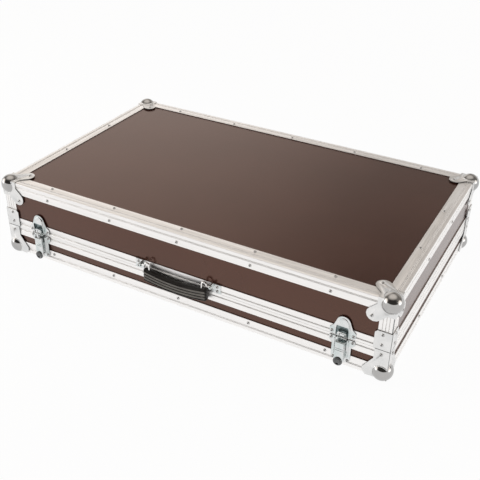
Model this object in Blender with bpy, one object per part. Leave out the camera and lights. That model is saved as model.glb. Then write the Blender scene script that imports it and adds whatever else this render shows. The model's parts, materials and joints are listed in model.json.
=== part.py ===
"""Flight case for a keyboard: a hinged lid on a shallow base.

Laminated panels stand in aluminium angle, a tongue and groove profile closes the case all round,
ball corners guard it, two butterfly latches and a carry handle sit on its front, and two hinges on
its back. Metres, +Z up, front towards -Y. The origin is the middle of the underside of the box that
just holds the closed case, so the case stands on z = 0 with its latches released.
"""
import math

import bmesh
import bpy
from mathutils import Matrix, Vector

# Case body
CASE_WIDTH = 0.990
CASE_DEPTH = 0.600
CASE_HEIGHT = 0.193
BASE_HEIGHT = 0.0718
PANEL_THICKNESS = 0.009
SEAT_GAP = 0.0003
CUT_OVERRUN = 0.001

# Edge and corner angle
ANGLE_LEG = 0.030
ANGLE_WALL = 0.002
ANGLE_ROUND = 0.0018
GROOVE_DEPTH = 0.0008
GROOVE_WIDTH = 0.0016
EDGE_GROOVE_SHARES = (0.62, 0.71)
CORNER_GROOVE_SHARES = (0.28, 0.52, 0.76)

# Closing profile: tongue on the base, groove in the lid
CLOSING_FACE_HEIGHT = 0.0235
CLOSING_INNER_LEG = 0.010
CLOSING_INNER_WALL = 0.0018
CLOSING_FOOT_SHARES = (0.30, 0.38)
TONGUE_HEIGHT = 0.0040
TONGUE_WIDTH = 0.0038
TONGUE_CHAMFER = 0.0008
TONGUE_DEPTH_IN = 0.0048
TONGUE_SIDE_CLEARANCE = 0.0008
TONGUE_TOP_CLEARANCE = 0.0007
GROOVE_ROOF = 0.0018
TONGUE_SEAT = 0.0030

# Ball corners and corner braces
BALL_RADIUS = 0.0228
BALL_INSET = 0.0123
BALL_SEGMENTS = 20
BALL_RINGS = 12
PLATE_THICKNESS = 0.0016
CORNER_SQUARE = 0.038
CORNER_NECK = 0.015
LOBE_CENTRE = 0.0412
LOBE_RADIUS = 0.0168
LOBE_RIVET = 0.0455
LOBE_STEPS = 7
BRACE_LEG = 0.035
BRACE_TOP_CLEARANCE = 0.0182
BRACE_CHAMFER = 0.005
FOOT_PLATE_LEG = 0.031
FOOT_DIAGONAL_TOP = 0.0465
FOOT_DIAGONAL_FOOT = 0.029
FOOT_DIAGONAL_REACH = 0.043
FOOT_TOE = 0.052
FOOT_TOE_HEIGHT = 0.016
FOOT_RIVET = 0.016

# Rivets
RIVET_RADIUS = 0.0034
RIVET_HEIGHT = 0.0013
RIVET_CROWN_SHARE = 0.55
RIVET_SIDES = 8
RIVET_PITCH = 0.180
RIVET_LINE = 0.0215
RIVET_ROOT = 0.0009
RIVET_END_CLEARANCE = 0.080
BRACE_RIVET_SHARES = (0.28, 0.83)
BRACE_RIVET = 0.018

# Foam lining
FOAM_THICKNESS = 0.010
FOAM_BED_THICKNESS = 0.014
FOAM_SIDE_CLEARANCE = 0.0006

# Carry handle
HANDLE_AXIS_REACH = 0.0105
HANDLE_AXIS_RISE = 0.0185
BRACKET_CENTRE = 0.1005
BRACKET_WIDTH = 0.022
BRACKET_HEIGHT = 0.0225
BRACKET_RISE = 0.0015
BRACKET_LUG_THICKNESS = 0.0028
BRACKET_LUG_RADIUS = 0.0052
BRACKET_RIVET_SPACING = 0.011
GRIP_LENGTH = 0.167
GRIP_HEIGHT = 0.032
GRIP_THICKNESS = 0.014
GRIP_ROUND = 0.0045
GRIP_BOW = 0.009
GRIP_TOP_RISE = -0.006
GRIP_STEPS = 12
GRIP_END_CAP = 0.0035
GRIP_RIB_DEPTH = 0.0011
GRIP_RIB_WIDTH = 0.0028
GRIP_RIB_SHARES = (0.12, 0.37, 0.62, 0.87)
BAIL_RADIUS = 0.0024
BAIL_CENTRE = 0.069
BAIL_HEAD_RADIUS = 0.0038
BAIL_HEAD_THICKNESS = 0.0016
BAIL_CROWN = 0.0080
BAIL_SINK = 0.010
BAIL_CLEARANCE = 0.0005
BAIL_ARCH_STEPS = 5

# Latches: plates on the case
LATCH_INSET = 0.100
LATCH_PLATE = 0.0015
KEEPER_RISE = 0.0025
KEEPER_HALF_WIDTH = 0.0285
KEEPER_SHOULDER = 0.0165
KEEPER_NECK_HALF_WIDTH = 0.0205
KEEPER_NECK = 0.0240
KEEPER_HEIGHT = 0.0505
KEEPER_APEX_RADIUS = 0.0150
KEEPER_ARCH_CENTRE = 0.0150
KEEPER_ARCH_RADIUS = 0.0155
KEEPER_ARCH_WALL = 0.0015
KEEPER_ARCH_REACH = 0.0055
KEEPER_LIP_HALF_WIDTH = 0.0050
KEEPER_LIP_RISE = 0.0045
KEEPER_LIP_THICKNESS = 0.0015
KEEPER_LIP_REACH = 0.0052
KEEPER_TIP_HEIGHT = 0.0045
KEEPER_TIP_THICKNESS = 0.0012
KEEPER_RIVET_SIDE = 0.0235
KEEPER_RIVET_SIDE_RISE = 0.0090
KEEPER_HOOD_HEIGHT = 0.0310
KEEPER_HOOD_REACH = 0.0070
KEEPER_HOOD_RIM = 0.0145
KEEPER_WINDOW_RADIUS = 0.0120
LATCH_HALF_WIDTH = 0.0285
LATCH_EAR_DROP = 0.0130
LATCH_WAIST_DROP = 0.0220
LATCH_WAIST_HALF_WIDTH = 0.0210
LATCH_LENGTH = 0.0635
LATCH_FOOT_RADIUS = 0.0120
LATCH_RIVET_SIDE = 0.0235
LATCH_RIVET_SIDE_DROP = 0.0075
LATCH_RIVET_FOOT_SIDE = 0.0160
LATCH_RIVET_FOOT_DROP = 0.0560
GUIDE_REACH = 0.0057
GUIDE_TOP_DROP = 0.0060
GUIDE_FOOT_DROP = 0.0470

# Latches: slider, spindle, wing and hook
DRAW_TRAVEL = 0.0050
SPINDLE_DROP = 0.0260
SPINDLE_SHAFT_RADIUS = 0.0030
CAM_RADIUS = 0.0055
CAM_SLACK = 0.0009
HEAD_RADIUS = 0.0090
HEAD_THICKNESS = 0.0015
ROUND_SIDES = 20
HOOD_STEPS = 12
SLIDER_HALF_WIDTH = 0.0137
SLIDER_END_BAR = 0.0032
SLIDER_THICKNESS = 0.0015
HOOK_AXIS_DROP = 0.0010
HOOK_KNUCKLE_RADIUS = 0.0020
HOOK_KNUCKLE_HALF_WIDTH = 0.0035
HOOK_PIN_RADIUS = 0.0010
HOOK_HALF_WIDTH = 0.0100
HOOK_BAR = 0.0050
HOOK_BAR_CLEARANCE = 0.0008
HOOK_WINDOW_CLEARANCE = 0.0008
HOOK_WINDOW_RUN = 0.0078
HOOK_CORNER = 0.0030
HOOK_TILT_DEGREES = 17.0
WING_AXIS_DROP = 0.0095
WING_AXIS_REACH = 0.0103
WING_INNER_REACH = 0.0069
WING_OUTER_REACH = 0.0145
WING_HALF_WIDTH = 0.0100
WING_WALL = 0.0015
WING_FOOT_DROP = 0.0640
WING_HEAD_RISE = 0.0034
WING_EDGE_ROUND = 0.0020
WING_PIN_RADIUS = 0.0014
WING_PIN_PROUD = 0.0005
WING_LUG_THICKNESS = 0.0024
WING_LUG_RADIUS = 0.0024
WING_RIB_SHARES = (0.28, 0.36)
WING_RIB_DEPTH = 0.0006
WING_RIB_WIDTH = 0.0016
WING_TAPER_RUN = 0.0110
WING_NECK_REACH = 0.0064
WING_NECK_WAIST = 0.0092
WING_NECK_RISE = 0.0074
WING_NECK_ROOT = 0.0058
WING_NECK_FOOT = 0.0005

# Hinges
HINGE_INSET = 0.195
HINGE_LENGTH = 0.090
HINGE_LEAF_HEIGHT = 0.0220
HINGE_LEAF_THICKNESS = 0.0015
HINGE_KNUCKLE_RADIUS = 0.0040
HINGE_PIN_RADIUS = 0.0020
HINGE_PIN_HEAD_RADIUS = 0.0034
HINGE_PIN_HEAD_THICKNESS = 0.0012
HINGE_KNUCKLE_COUNT = 5
HINGE_CORNER = 0.003
HINGE_RIVET_SPACING = 0.032
HINGE_RIVET_OFFSET = 0.0135

# Places that follow from the sizes
STAND = BALL_RADIUS - BALL_INSET
LATCH_CENTRE = CASE_WIDTH / 2 - LATCH_INSET
HINGE_CENTRE = CASE_WIDTH / 2 - HINGE_INSET
BRACE_HEIGHT = CASE_HEIGHT - BASE_HEIGHT - LOBE_CENTRE - LOBE_RADIUS - BRACE_TOP_CLEARANCE
PLATE_REACH = SEAT_GAP + PLATE_THICKNESS
LATCH_REACH = SEAT_GAP + LATCH_PLATE
FRONT_REACH = max(HANDLE_AXIS_REACH + GRIP_THICKNESS / 2, WING_OUTER_REACH, STAND)
HINGE_AXIS_REACH = SEAT_GAP * 2 + HINGE_KNUCKLE_RADIUS
BACK_REACH = max(STAND, HINGE_AXIS_REACH + HINGE_KNUCKLE_RADIUS)
BODY_Y = (FRONT_REACH - BACK_REACH) / 2
PANEL_DEPTH = ANGLE_WALL + SEAT_GAP
INNER_FACE = PANEL_DEPTH + PANEL_THICKNESS
CLOSING_DEPTH = INNER_FACE + SEAT_GAP + CLOSING_INNER_WALL
GROOVE_HEIGHT = TONGUE_HEIGHT + TONGUE_TOP_CLEARANCE
LID_SEAT = GROOVE_HEIGHT + GROOVE_ROOF
HALF_GAP = SEAT_GAP / 2
HOOK_TILT = math.radians(HOOK_TILT_DEGREES)
SIDES = ("front", "right", "back", "left")
CORNERS = {"front_left": (-1, -1), "front_right": (1, -1), "back_right": (1, 1), "back_left": (-1, 1)}


def clear_scene():
    """Remove every object, mesh, curve and collection that the file starts with."""
    for item in list(bpy.data.objects):
        bpy.data.objects.remove(item, do_unlink=True)
    for item in list(bpy.data.collections):
        bpy.data.collections.remove(item)


def make_material(name, colour, roughness, metallic):
    """Return a Principled material."""
    material = bpy.data.materials.new(name)
    material.use_nodes = True
    shader = material.node_tree.nodes["Principled BSDF"]
    shader.inputs["Base Color"].default_value = (*colour, 1.0)
    shader.inputs["Roughness"].default_value = roughness
    shader.inputs["Metallic"].default_value = metallic
    material.diffuse_color = (*colour, 1.0)
    return material


FINISHES = {
    "brown_laminate": ((0.115, 0.062, 0.045), 0.28, 0.0),
    "brushed_aluminium": ((0.78, 0.77, 0.76), 0.36, 1.0),
    "zinc_plate": ((0.70, 0.74, 0.74), 0.30, 1.0),
    "chrome_ball": ((0.80, 0.80, 0.81), 0.14, 1.0),
    "rivet_steel": ((0.62, 0.62, 0.62), 0.34, 1.0),
    "grip_rubber": ((0.035, 0.034, 0.034), 0.55, 0.0),
    "bail_chrome": ((0.80, 0.80, 0.82), 0.12, 1.0),
    "lining_foam": ((0.045, 0.045, 0.048), 0.92, 0.0),
}


class Assembly:
    """The collection of parts, with one empty for each joint that carries the parts that move."""

    def __init__(self, name):
        self.collection = bpy.data.collections.new(name)
        bpy.context.scene.collection.children.link(self.collection)
        self.empties = {}

    def add_axis(self, name, place, parent=None):
        """Put an empty on a joint's axis."""
        empty = bpy.data.objects.new(name, None)
        self.collection.objects.link(empty)
        empty.empty_display_size = BALL_RADIUS
        self.attach(empty, parent, Matrix.Translation(place))
        self.empties[name] = empty

    def attach(self, item, parent, matrix):
        """Place an object in the world and hang it on its joint's empty."""
        if parent:
            carrier = self.empties[parent]
            bpy.context.view_layer.update()
            item.parent = carrier
            item.matrix_parent_inverse = carrier.matrix_world.inverted()
        item.matrix_basis = matrix

    def add_mesh(self, name, mesh, finish, matrix, parent=None, smooth=False):
        """Make a named part from a mesh."""
        mesh.name = name
        item = bpy.data.objects.new(name, mesh)
        self.collection.objects.link(item)
        colour, roughness, metallic = FINISHES[finish]
        mesh.materials.clear()
        mesh.materials.append(make_material(name + "_" + finish, colour, roughness, metallic))
        for face in mesh.polygons:
            face.material_index = 0
        if smooth:
            mesh.shade_smooth()
            mesh.set_sharp_from_angle(angle=math.radians(35.0))
        self.attach(item, parent, matrix)
        return item


def to_mesh(shape):
    """Finish a bmesh: outward faces, then a mesh."""
    bmesh.ops.recalc_face_normals(shape, faces=shape.faces[:])
    mesh = bpy.data.meshes.new("shape")
    shape.to_mesh(mesh)
    shape.free()
    return mesh


def block(low, high):
    """A box between two corners."""
    shape = bmesh.new()
    size = Vector(high) - Vector(low)
    middle = (Vector(high) + Vector(low)) / 2
    bmesh.ops.create_cube(shape, size=1.0, matrix=Matrix.Translation(middle) @ Matrix.Diagonal((*size, 1.0)))
    return to_mesh(shape)


def axis_point(axis, first, second, along):
    """A point whose third coordinate runs along the named axis."""
    if axis == "X":
        return Vector((along, first, second))
    if axis == "Y":
        return Vector((first, along, second))
    return Vector((first, second, along))


def prism(outline, axis, low, high):
    """A flat outline pushed along one axis from low to high."""
    shape = bmesh.new()
    corners = [shape.verts.new(axis_point(axis, first, second, low)) for first, second in outline]
    face = shape.faces.new(corners)
    pushed = bmesh.ops.extrude_face_region(shape, geom=[face])
    moved = [item for item in pushed["geom"] if isinstance(item, bmesh.types.BMVert)]
    bmesh.ops.translate(shape, verts=moved, vec=axis_point(axis, 0, 0, high - low))
    return to_mesh(shape)


def cylinder(radius, axis, first, second, low, high, sides=ROUND_SIDES, end_radius=None):
    """A round bar along one axis through the point first, second."""
    turn = {"X": Matrix.Rotation(math.pi / 2, 4, "Y"), "Y": Matrix.Rotation(-math.pi / 2, 4, "X"), "Z": Matrix()}
    middle = axis_point(axis, first, second, (low + high) / 2)
    shape = bmesh.new()
    bmesh.ops.create_cone(
        shape, cap_ends=True, segments=sides, radius1=radius, radius2=end_radius or radius,
        depth=high - low, matrix=Matrix.Translation(middle) @ turn[axis],
    )
    return to_mesh(shape)


def combine(pieces, cuts=()):
    """The union of the pieces less the cuts."""
    scratch = []
    for mesh in [*pieces, *cuts]:
        item = bpy.data.objects.new("scratch", mesh)
        bpy.context.scene.collection.objects.link(item)
        scratch.append(item)
    target = scratch[0]
    for index, tool in enumerate(scratch[1:], start=1):
        modifier = target.modifiers.new("join" if index < len(pieces) else "cut", "BOOLEAN")
        modifier.operation = "UNION" if index < len(pieces) else "DIFFERENCE"
        modifier.solver = "EXACT"
        modifier.object = tool
    bpy.context.view_layer.update()
    evaluated = target.evaluated_get(bpy.context.evaluated_depsgraph_get())
    result = bpy.data.meshes.new_from_object(evaluated)
    for item in scratch:
        bpy.data.objects.remove(item, do_unlink=True)
    return result


def placed(mesh, matrix):
    """A copy of a mesh moved or mirrored by a matrix, its faces still outward."""
    copy = mesh.copy()
    copy.transform(matrix)
    if matrix.to_3x3().determinant() < 0:
        copy.flip_normals()
    return copy


def rivet(axis, first, second, surface, way=-1):
    """A rivet head that stands on a surface and points along the axis, back down it by default."""
    crown = RIVET_RADIUS * RIVET_CROWN_SHARE
    root, tip = surface - way * RIVET_ROOT, surface + way * RIVET_HEIGHT
    low_radius, high_radius = (crown, RIVET_RADIUS) if way < 0 else (RIVET_RADIUS, crown)
    return cylinder(low_radius, axis, first, second, min(root, tip), max(root, tip), RIVET_SIDES, high_radius)


def riveted(host, heads):
    """A plate or bar with its rivet heads set in it."""
    shape = bmesh.new()
    for head in heads:
        shape.from_mesh(head)
    mesh = bpy.data.meshes.new("heads")
    shape.to_mesh(mesh)
    shape.free()
    return combine([host, mesh])


def side_turn(side):
    """Turn from the case's middle to one face: x along it seen from outside, y into the case."""
    quarter = SIDES.index(side)
    reach = (CASE_DEPTH if quarter % 2 == 0 else CASE_WIDTH) / 2
    return Matrix.Rotation(quarter * math.pi / 2, 4, "Z") @ Matrix.Translation((0, -reach, 0))


def side_frame(side):
    """World frame of one face, with z up from the case's foot."""
    return Matrix.Translation((0, BODY_Y, STAND)) @ side_turn(side)


def side_half_length(side):
    """Half the length of one face."""
    return (CASE_WIDTH if SIDES.index(side) % 2 == 0 else CASE_DEPTH) / 2


def arc(centre, radius, start, end, steps):
    """Points on an arc, both ends included, angles in radians."""
    return [
        (centre[0] + radius * math.cos(start + (end - start) * step / steps),
         centre[1] + radius * math.sin(start + (end - start) * step / steps))
        for step in range(steps + 1)
    ]


def grooved(start, end, shares, inward, depth=GROOVE_DEPTH, width=GROOVE_WIDTH):
    """A straight edge with a V groove at each share of its length; inward is the way into the metal."""
    start, end, inward = Vector(start), Vector(end), Vector(inward)
    along = (end - start).normalized()
    points = [start]
    for share in shares:
        middle = start.lerp(end, share)
        points += [middle - along * width / 2, middle + inward * depth, middle + along * width / 2]
    return [tuple(point) for point in [*points, end]]


def angle_outline(shares):
    """Section of an angle: both coordinates are distances in from its two outer faces."""
    return [
        *grooved((0, ANGLE_LEG), (0, ANGLE_ROUND), shares, (1, 0)),
        *arc((ANGLE_ROUND, ANGLE_ROUND), ANGLE_ROUND, math.pi, math.pi * 1.5, 2)[1:-1],
        *grooved((ANGLE_ROUND, 0), (ANGLE_LEG, 0), [1 - share for share in reversed(shares)], (0, 1)),
        (ANGLE_LEG, ANGLE_WALL), (ANGLE_WALL, ANGLE_WALL), (ANGLE_WALL, ANGLE_LEG),
    ]


def mitred_bar(section, half_length):
    """A section of depth and height run along a face, each end cut at 45 degrees."""
    shape = bmesh.new()
    corners = [shape.verts.new((-half_length + depth + SEAT_GAP, depth, height)) for depth, height in section]
    pushed = bmesh.ops.extrude_face_region(shape, geom=[shape.faces.new(corners)])
    for item in pushed["geom"]:
        if isinstance(item, bmesh.types.BMVert):
            item.co.x = -item.co.x
    return to_mesh(shape)


def mitred_frame(section):
    """A section of depth and height run round all four faces, mitred and joined at the corners."""
    shape = bmesh.new()
    rings = []
    for x_side, y_side in CORNERS.values():
        ring = [
            shape.verts.new((x_side * (CASE_WIDTH / 2 - depth), y_side * (CASE_DEPTH / 2 - depth), height))
            for depth, height in section
        ]
        rings.append(ring)
    for ring, after in zip(rings, [*rings[1:], rings[0]]):
        for index, vert in enumerate(ring):
            shape.faces.new((vert, ring[index - 1], after[index - 1], after[index]))
    return to_mesh(shape)


def groove_section():
    """Closing profile of the lid: it holds the panels' lower edges and is grooved for the tongue."""
    near = TONGUE_DEPTH_IN - TONGUE_SIDE_CLEARANCE
    far = TONGUE_DEPTH_IN + TONGUE_WIDTH + TONGUE_SIDE_CLEARANCE
    channel = INNER_FACE + SEAT_GAP
    return [
        *grooved((0, HALF_GAP), (0, CLOSING_FACE_HEIGHT), CLOSING_FOOT_SHARES, (1, 0)),
        (ANGLE_WALL, CLOSING_FACE_HEIGHT), (ANGLE_WALL, LID_SEAT), (channel, LID_SEAT),
        (channel, LID_SEAT + CLOSING_INNER_LEG), (CLOSING_DEPTH, LID_SEAT + CLOSING_INNER_LEG),
        (CLOSING_DEPTH, HALF_GAP), (far, HALF_GAP), (far, GROOVE_HEIGHT), (near, GROOVE_HEIGHT), (near, HALF_GAP),
    ]


def tongue_section():
    """Closing profile of the base: it holds the panels' upper edges and carries the tongue."""
    near = TONGUE_DEPTH_IN
    far = TONGUE_DEPTH_IN + TONGUE_WIDTH
    channel = INNER_FACE + SEAT_GAP
    shoulder = TONGUE_HEIGHT - TONGUE_CHAMFER
    return [
        *grooved((0, -HALF_GAP), (0, -CLOSING_FACE_HEIGHT), CLOSING_FOOT_SHARES, (1, 0)),
        (ANGLE_WALL, -CLOSING_FACE_HEIGHT), (ANGLE_WALL, -TONGUE_SEAT), (channel, -TONGUE_SEAT),
        (channel, -TONGUE_SEAT - CLOSING_INNER_LEG), (CLOSING_DEPTH, -TONGUE_SEAT - CLOSING_INNER_LEG),
        (CLOSING_DEPTH, -HALF_GAP), (far, -HALF_GAP), (far, shoulder), (far - TONGUE_CHAMFER, TONGUE_HEIGHT),
        (near + TONGUE_CHAMFER, TONGUE_HEIGHT), (near, shoulder), (near, -HALF_GAP),
    ]


def edge_rivets(side, height, way):
    """Rivet heads along one edge angle, on its upright flange and its flat one."""
    row = side_half_length(side) - LOBE_RIVET - RIVET_END_CLEARANCE
    count = int(row * 2 / RIVET_PITCH) + 1
    heads = []
    for index in range(count):
        along = (index - (count - 1) / 2) * RIVET_PITCH
        heads.append(rivet("Y", along, height - way * RIVET_LINE, 0))
        heads.append(rivet("Z", along, RIVET_LINE, height, way))
    return heads


def build_extrusions(case):
    """Edge angles, closing profiles and the lid's short upright angles."""
    outline = angle_outline(EDGE_GROOVE_SHARES)
    top = [(depth, CASE_HEIGHT - drop) for depth, drop in outline]
    centre = Matrix.Translation((0, BODY_Y, STAND))
    foot_heads = []
    for side in SIDES:
        bar = riveted(mitred_bar(top, side_half_length(side)), edge_rivets(side, CASE_HEIGHT, 1))
        case.add_mesh("lid_edge_angle_" + side, bar, "brushed_aluminium", side_frame(side), "lid_axis")
        foot_heads += [placed(head, side_turn(side)) for head in edge_rivets(side, 0, -1)]
    foot_frame = riveted(mitred_frame(outline), foot_heads)
    lid_close = mitred_frame([(depth, BASE_HEIGHT + rise) for depth, rise in groove_section()])
    base_close = mitred_frame([(depth, BASE_HEIGHT + rise) for depth, rise in tongue_section()])
    case.add_mesh("base_edge_frame", foot_frame, "brushed_aluminium", centre)
    case.add_mesh("lid_closing_frame", lid_close, "brushed_aluminium", centre, "lid_axis")
    case.add_mesh("base_closing_frame", base_close, "brushed_aluminium", centre)
    low = BASE_HEIGHT + CLOSING_FACE_HEIGHT + SEAT_GAP
    high = CASE_HEIGHT - ANGLE_LEG - SEAT_GAP
    upright = prism(angle_outline(CORNER_GROOVE_SHARES), "Z", low, high)
    add_at_corners(case, "lid_upright_angle_", upright, "brushed_aluminium", "lid_axis")


def add_at_corners(case, label, mesh, finish, parent=None, top=False, smooth=False):
    """Add a piece at all four corners, drawn with x and y into the case and z up, or down from the top."""
    for corner, (x_side, y_side) in CORNERS.items():
        origin = (x_side * CASE_WIDTH / 2, BODY_Y + y_side * CASE_DEPTH / 2, STAND + (CASE_HEIGHT if top else 0))
        hand = placed(mesh, Matrix.Diagonal((-x_side, -y_side, -1 if top else 1, 1)))
        case.add_mesh(label + corner, hand, finish, Matrix.Translation(origin), parent, smooth)


def build_panels(case):
    """Laminated panels of the base and the lid."""
    half_width = CASE_WIDTH / 2 - PANEL_DEPTH
    half_depth = CASE_DEPTH / 2 - PANEL_DEPTH
    centre = Matrix.Translation((0, BODY_Y, STAND))
    floor_top = INNER_FACE
    roof_foot = CASE_HEIGHT - INNER_FACE
    floor = block((-half_width, -half_depth, PANEL_DEPTH), (half_width, half_depth, floor_top))
    roof = block((-half_width, -half_depth, roof_foot), (half_width, half_depth, CASE_HEIGHT - PANEL_DEPTH))
    case.add_mesh("base_floor_panel", floor, "brown_laminate", centre)
    case.add_mesh("lid_top_panel", roof, "brown_laminate", centre, "lid_axis")
    spans = {
        "base": (floor_top + SEAT_GAP, BASE_HEIGHT - TONGUE_SEAT - SEAT_GAP, None),
        "lid": (BASE_HEIGHT + LID_SEAT + SEAT_GAP, roof_foot - SEAT_GAP, "lid_axis"),
    }
    for part, (low, high, parent) in spans.items():
        for side in SIDES:
            inset = PANEL_DEPTH if side in ("front", "back") else INNER_FACE + SEAT_GAP
            reach = side_half_length(side) - inset
            wall = block((-reach, PANEL_DEPTH, low), (reach, INNER_FACE, high))
            case.add_mesh(part + "_" + side + "_panel", wall, "brown_laminate", side_frame(side), parent)


def lobed_outline():
    """Plate of a ball corner on one face, from just past the corner: a square with a round lobe."""
    centre = (LOBE_CENTRE, LOBE_CENTRE)
    lobe = arc(centre, LOBE_RADIUS, -math.pi / 4, math.pi * 3 / 4, LOBE_STEPS)
    return [
        (-PLATE_REACH, -PLATE_REACH), (CORNER_SQUARE, -PLATE_REACH), (CORNER_SQUARE, CORNER_NECK),
        *lobe, (CORNER_NECK, CORNER_SQUARE), (-PLATE_REACH, CORNER_SQUARE),
    ]


def foot_outline():
    """Side plate of a lower ball corner: it widens downwards from the parting line."""
    top = BASE_HEIGHT - HALF_GAP
    return [
        (-PLATE_REACH, -PLATE_REACH), (FOOT_TOE - FOOT_TOE_HEIGHT / 2, -PLATE_REACH), (FOOT_TOE, FOOT_TOE_HEIGHT / 2),
        (FOOT_TOE, FOOT_TOE_HEIGHT), (FOOT_DIAGONAL_REACH, FOOT_DIAGONAL_FOOT), (FOOT_PLATE_LEG, FOOT_DIAGONAL_TOP),
        (FOOT_PLATE_LEG, top), (-PLATE_REACH, top),
    ]


def ball_corner(side_outline, rivet_along, rivet_height):
    """One ball corner: three riveted plates and the ball, hollowed to the case's corner."""
    flat = lobed_outline()
    ball = bmesh.new()
    bmesh.ops.create_uvsphere(
        ball, u_segments=BALL_SEGMENTS, v_segments=BALL_RINGS, radius=BALL_RADIUS,
        matrix=Matrix.Translation((BALL_INSET, BALL_INSET, BALL_INSET)),
    )
    plates = [
        prism(flat, "Z", -PLATE_REACH, -SEAT_GAP),
        prism(side_outline, "Y", -PLATE_REACH, -SEAT_GAP),
        prism(side_outline, "X", -PLATE_REACH, -SEAT_GAP),
    ]
    shell = combine([to_mesh(ball), *plates], [block((-SEAT_GAP,) * 3, (CASE_HEIGHT,) * 3)])
    return riveted(shell, [
        rivet("Z", LOBE_RIVET, LOBE_RIVET, -PLATE_REACH),
        rivet("Y", rivet_along, rivet_height, -PLATE_REACH),
        rivet("X", rivet_along, rivet_height, -PLATE_REACH),
    ])


def build_corners(case):
    """Ball corners of the lid and base, and the lid's corner braces down to the parting line."""
    lid_ball = ball_corner(lobed_outline(), LOBE_RIVET, LOBE_RIVET)
    base_ball = ball_corner(foot_outline(), FOOT_RIVET, BASE_HEIGHT - CLOSING_FACE_HEIGHT / 2)
    add_at_corners(case, "lid_ball_corner_", lid_ball, "chrome_ball", "lid_axis", top=True, smooth=True)
    add_at_corners(case, "base_ball_corner_", base_ball, "chrome_ball", smooth=True)
    low = BASE_HEIGHT + HALF_GAP
    high = BASE_HEIGHT + BRACE_HEIGHT
    leg = [
        (-PLATE_REACH, low), (BRACE_LEG, low), (BRACE_LEG, high - BRACE_CHAMFER),
        (BRACE_LEG - BRACE_CHAMFER, high), (-PLATE_REACH, high),
    ]
    heads = []
    for share in BRACE_RIVET_SHARES:
        height = BASE_HEIGHT + BRACE_HEIGHT * share
        heads.append(rivet("Y", BRACE_RIVET, height, -PLATE_REACH))
        heads.append(rivet("X", BRACE_RIVET, height, -PLATE_REACH))
    bent = combine([prism(leg, "Y", -PLATE_REACH, -SEAT_GAP), prism(leg, "X", -PLATE_REACH, -SEAT_GAP)])
    add_at_corners(case, "lid_corner_brace_", riveted(bent, heads), "zinc_plate", "lid_axis")


def build_foam(case):
    """Foam lining: a bed on the floor, one strip bent round the base's walls and a pad in the lid."""
    centre = Matrix.Translation((0, BODY_Y, STAND))
    wall = INNER_FACE + SEAT_GAP
    inner = wall + FOAM_THICKNESS
    floor = INNER_FACE + SEAT_GAP
    roof = CASE_HEIGHT - INNER_FACE - SEAT_GAP
    high = BASE_HEIGHT - TONGUE_SEAT - CLOSING_INNER_LEG - SEAT_GAP
    half_width = CASE_WIDTH / 2 - inner - FOAM_SIDE_CLEARANCE
    half_depth = CASE_DEPTH / 2 - inner - FOAM_SIDE_CLEARANCE
    bed = block((-half_width, -half_depth, floor), (half_width, half_depth, floor + FOAM_BED_THICKNESS))
    surround = mitred_frame([(wall, floor), (wall, high), (inner, high), (inner, floor)])
    lid_width = CASE_WIDTH / 2 - wall - FOAM_SIDE_CLEARANCE
    lid_depth = CASE_DEPTH / 2 - wall - FOAM_SIDE_CLEARANCE
    pad = block((-lid_width, -lid_depth, roof - FOAM_BED_THICKNESS), (lid_width, lid_depth, roof))
    case.add_mesh("base_foam_bed", bed, "lining_foam", centre)
    case.add_mesh("base_foam_surround", surround, "lining_foam", centre)
    case.add_mesh("lid_foam_pad", pad, "lining_foam", centre, "lid_axis")


def front_place(along, reach, rise):
    """World matrix of a point on the front, given from the parting line."""
    return side_frame("front") @ Matrix.Translation((along, -reach, BASE_HEIGHT + rise))


def build_handle(case):
    """Carry handle: two brackets, two chrome bails and the bowed, ribbed grip."""
    axis = front_place(0, HANDLE_AXIS_REACH, HANDLE_AXIS_RISE)
    case.add_axis("handle_axis", axis.translation, "lid_axis")
    for hand, end in (("left", -1), ("right", 1)):
        build_bracket(case, hand, end)
        build_bail(case, hand, end, axis)
    case.add_mesh("handle_grip", grip_mesh(), "grip_rubber", axis, "handle_axis", smooth=True)


def build_bracket(case, hand, end):
    """Handle bracket: a plate on the closing profile with a lug that the bail turns in."""
    plate = block(
        (-BRACKET_WIDTH / 2, -LATCH_REACH, BRACKET_RISE),
        (BRACKET_WIDTH / 2, -SEAT_GAP, BRACKET_RISE + BRACKET_HEIGHT),
    )
    inner = -end * BRACKET_WIDTH / 2
    low, high = sorted((inner, inner + end * BRACKET_LUG_THICKNESS))
    centre = (-HANDLE_AXIS_REACH, HANDLE_AXIS_RISE)
    nose = arc(centre, BRACKET_LUG_RADIUS, math.pi * 1.5, math.pi * 0.5, 8)
    lug_outline = [(-SEAT_GAP, HANDLE_AXIS_RISE - BRACKET_LUG_RADIUS), *nose,
                   (-SEAT_GAP, HANDLE_AXIS_RISE + BRACKET_LUG_RADIUS)]
    lug = prism(lug_outline, "X", low, high)
    hole_radius = BAIL_RADIUS + BAIL_CLEARANCE
    hole = cylinder(hole_radius, "X", *centre, low - CUT_OVERRUN, high + CUT_OVERRUN, 12)
    middle = BRACKET_RISE + BRACKET_HEIGHT / 2
    heads = [
        rivet("Y", end * BRACKET_LUG_THICKNESS, middle + step * BRACKET_RIVET_SPACING / 2, -LATCH_REACH)
        for step in (-1, 1)
    ]
    case.add_mesh("handle_bracket_" + hand, riveted(combine([plate, lug], [hole]), heads), "zinc_plate",
                  front_place(end * BRACKET_CENTRE, 0, 0), "lid_axis", smooth=True)


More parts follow.
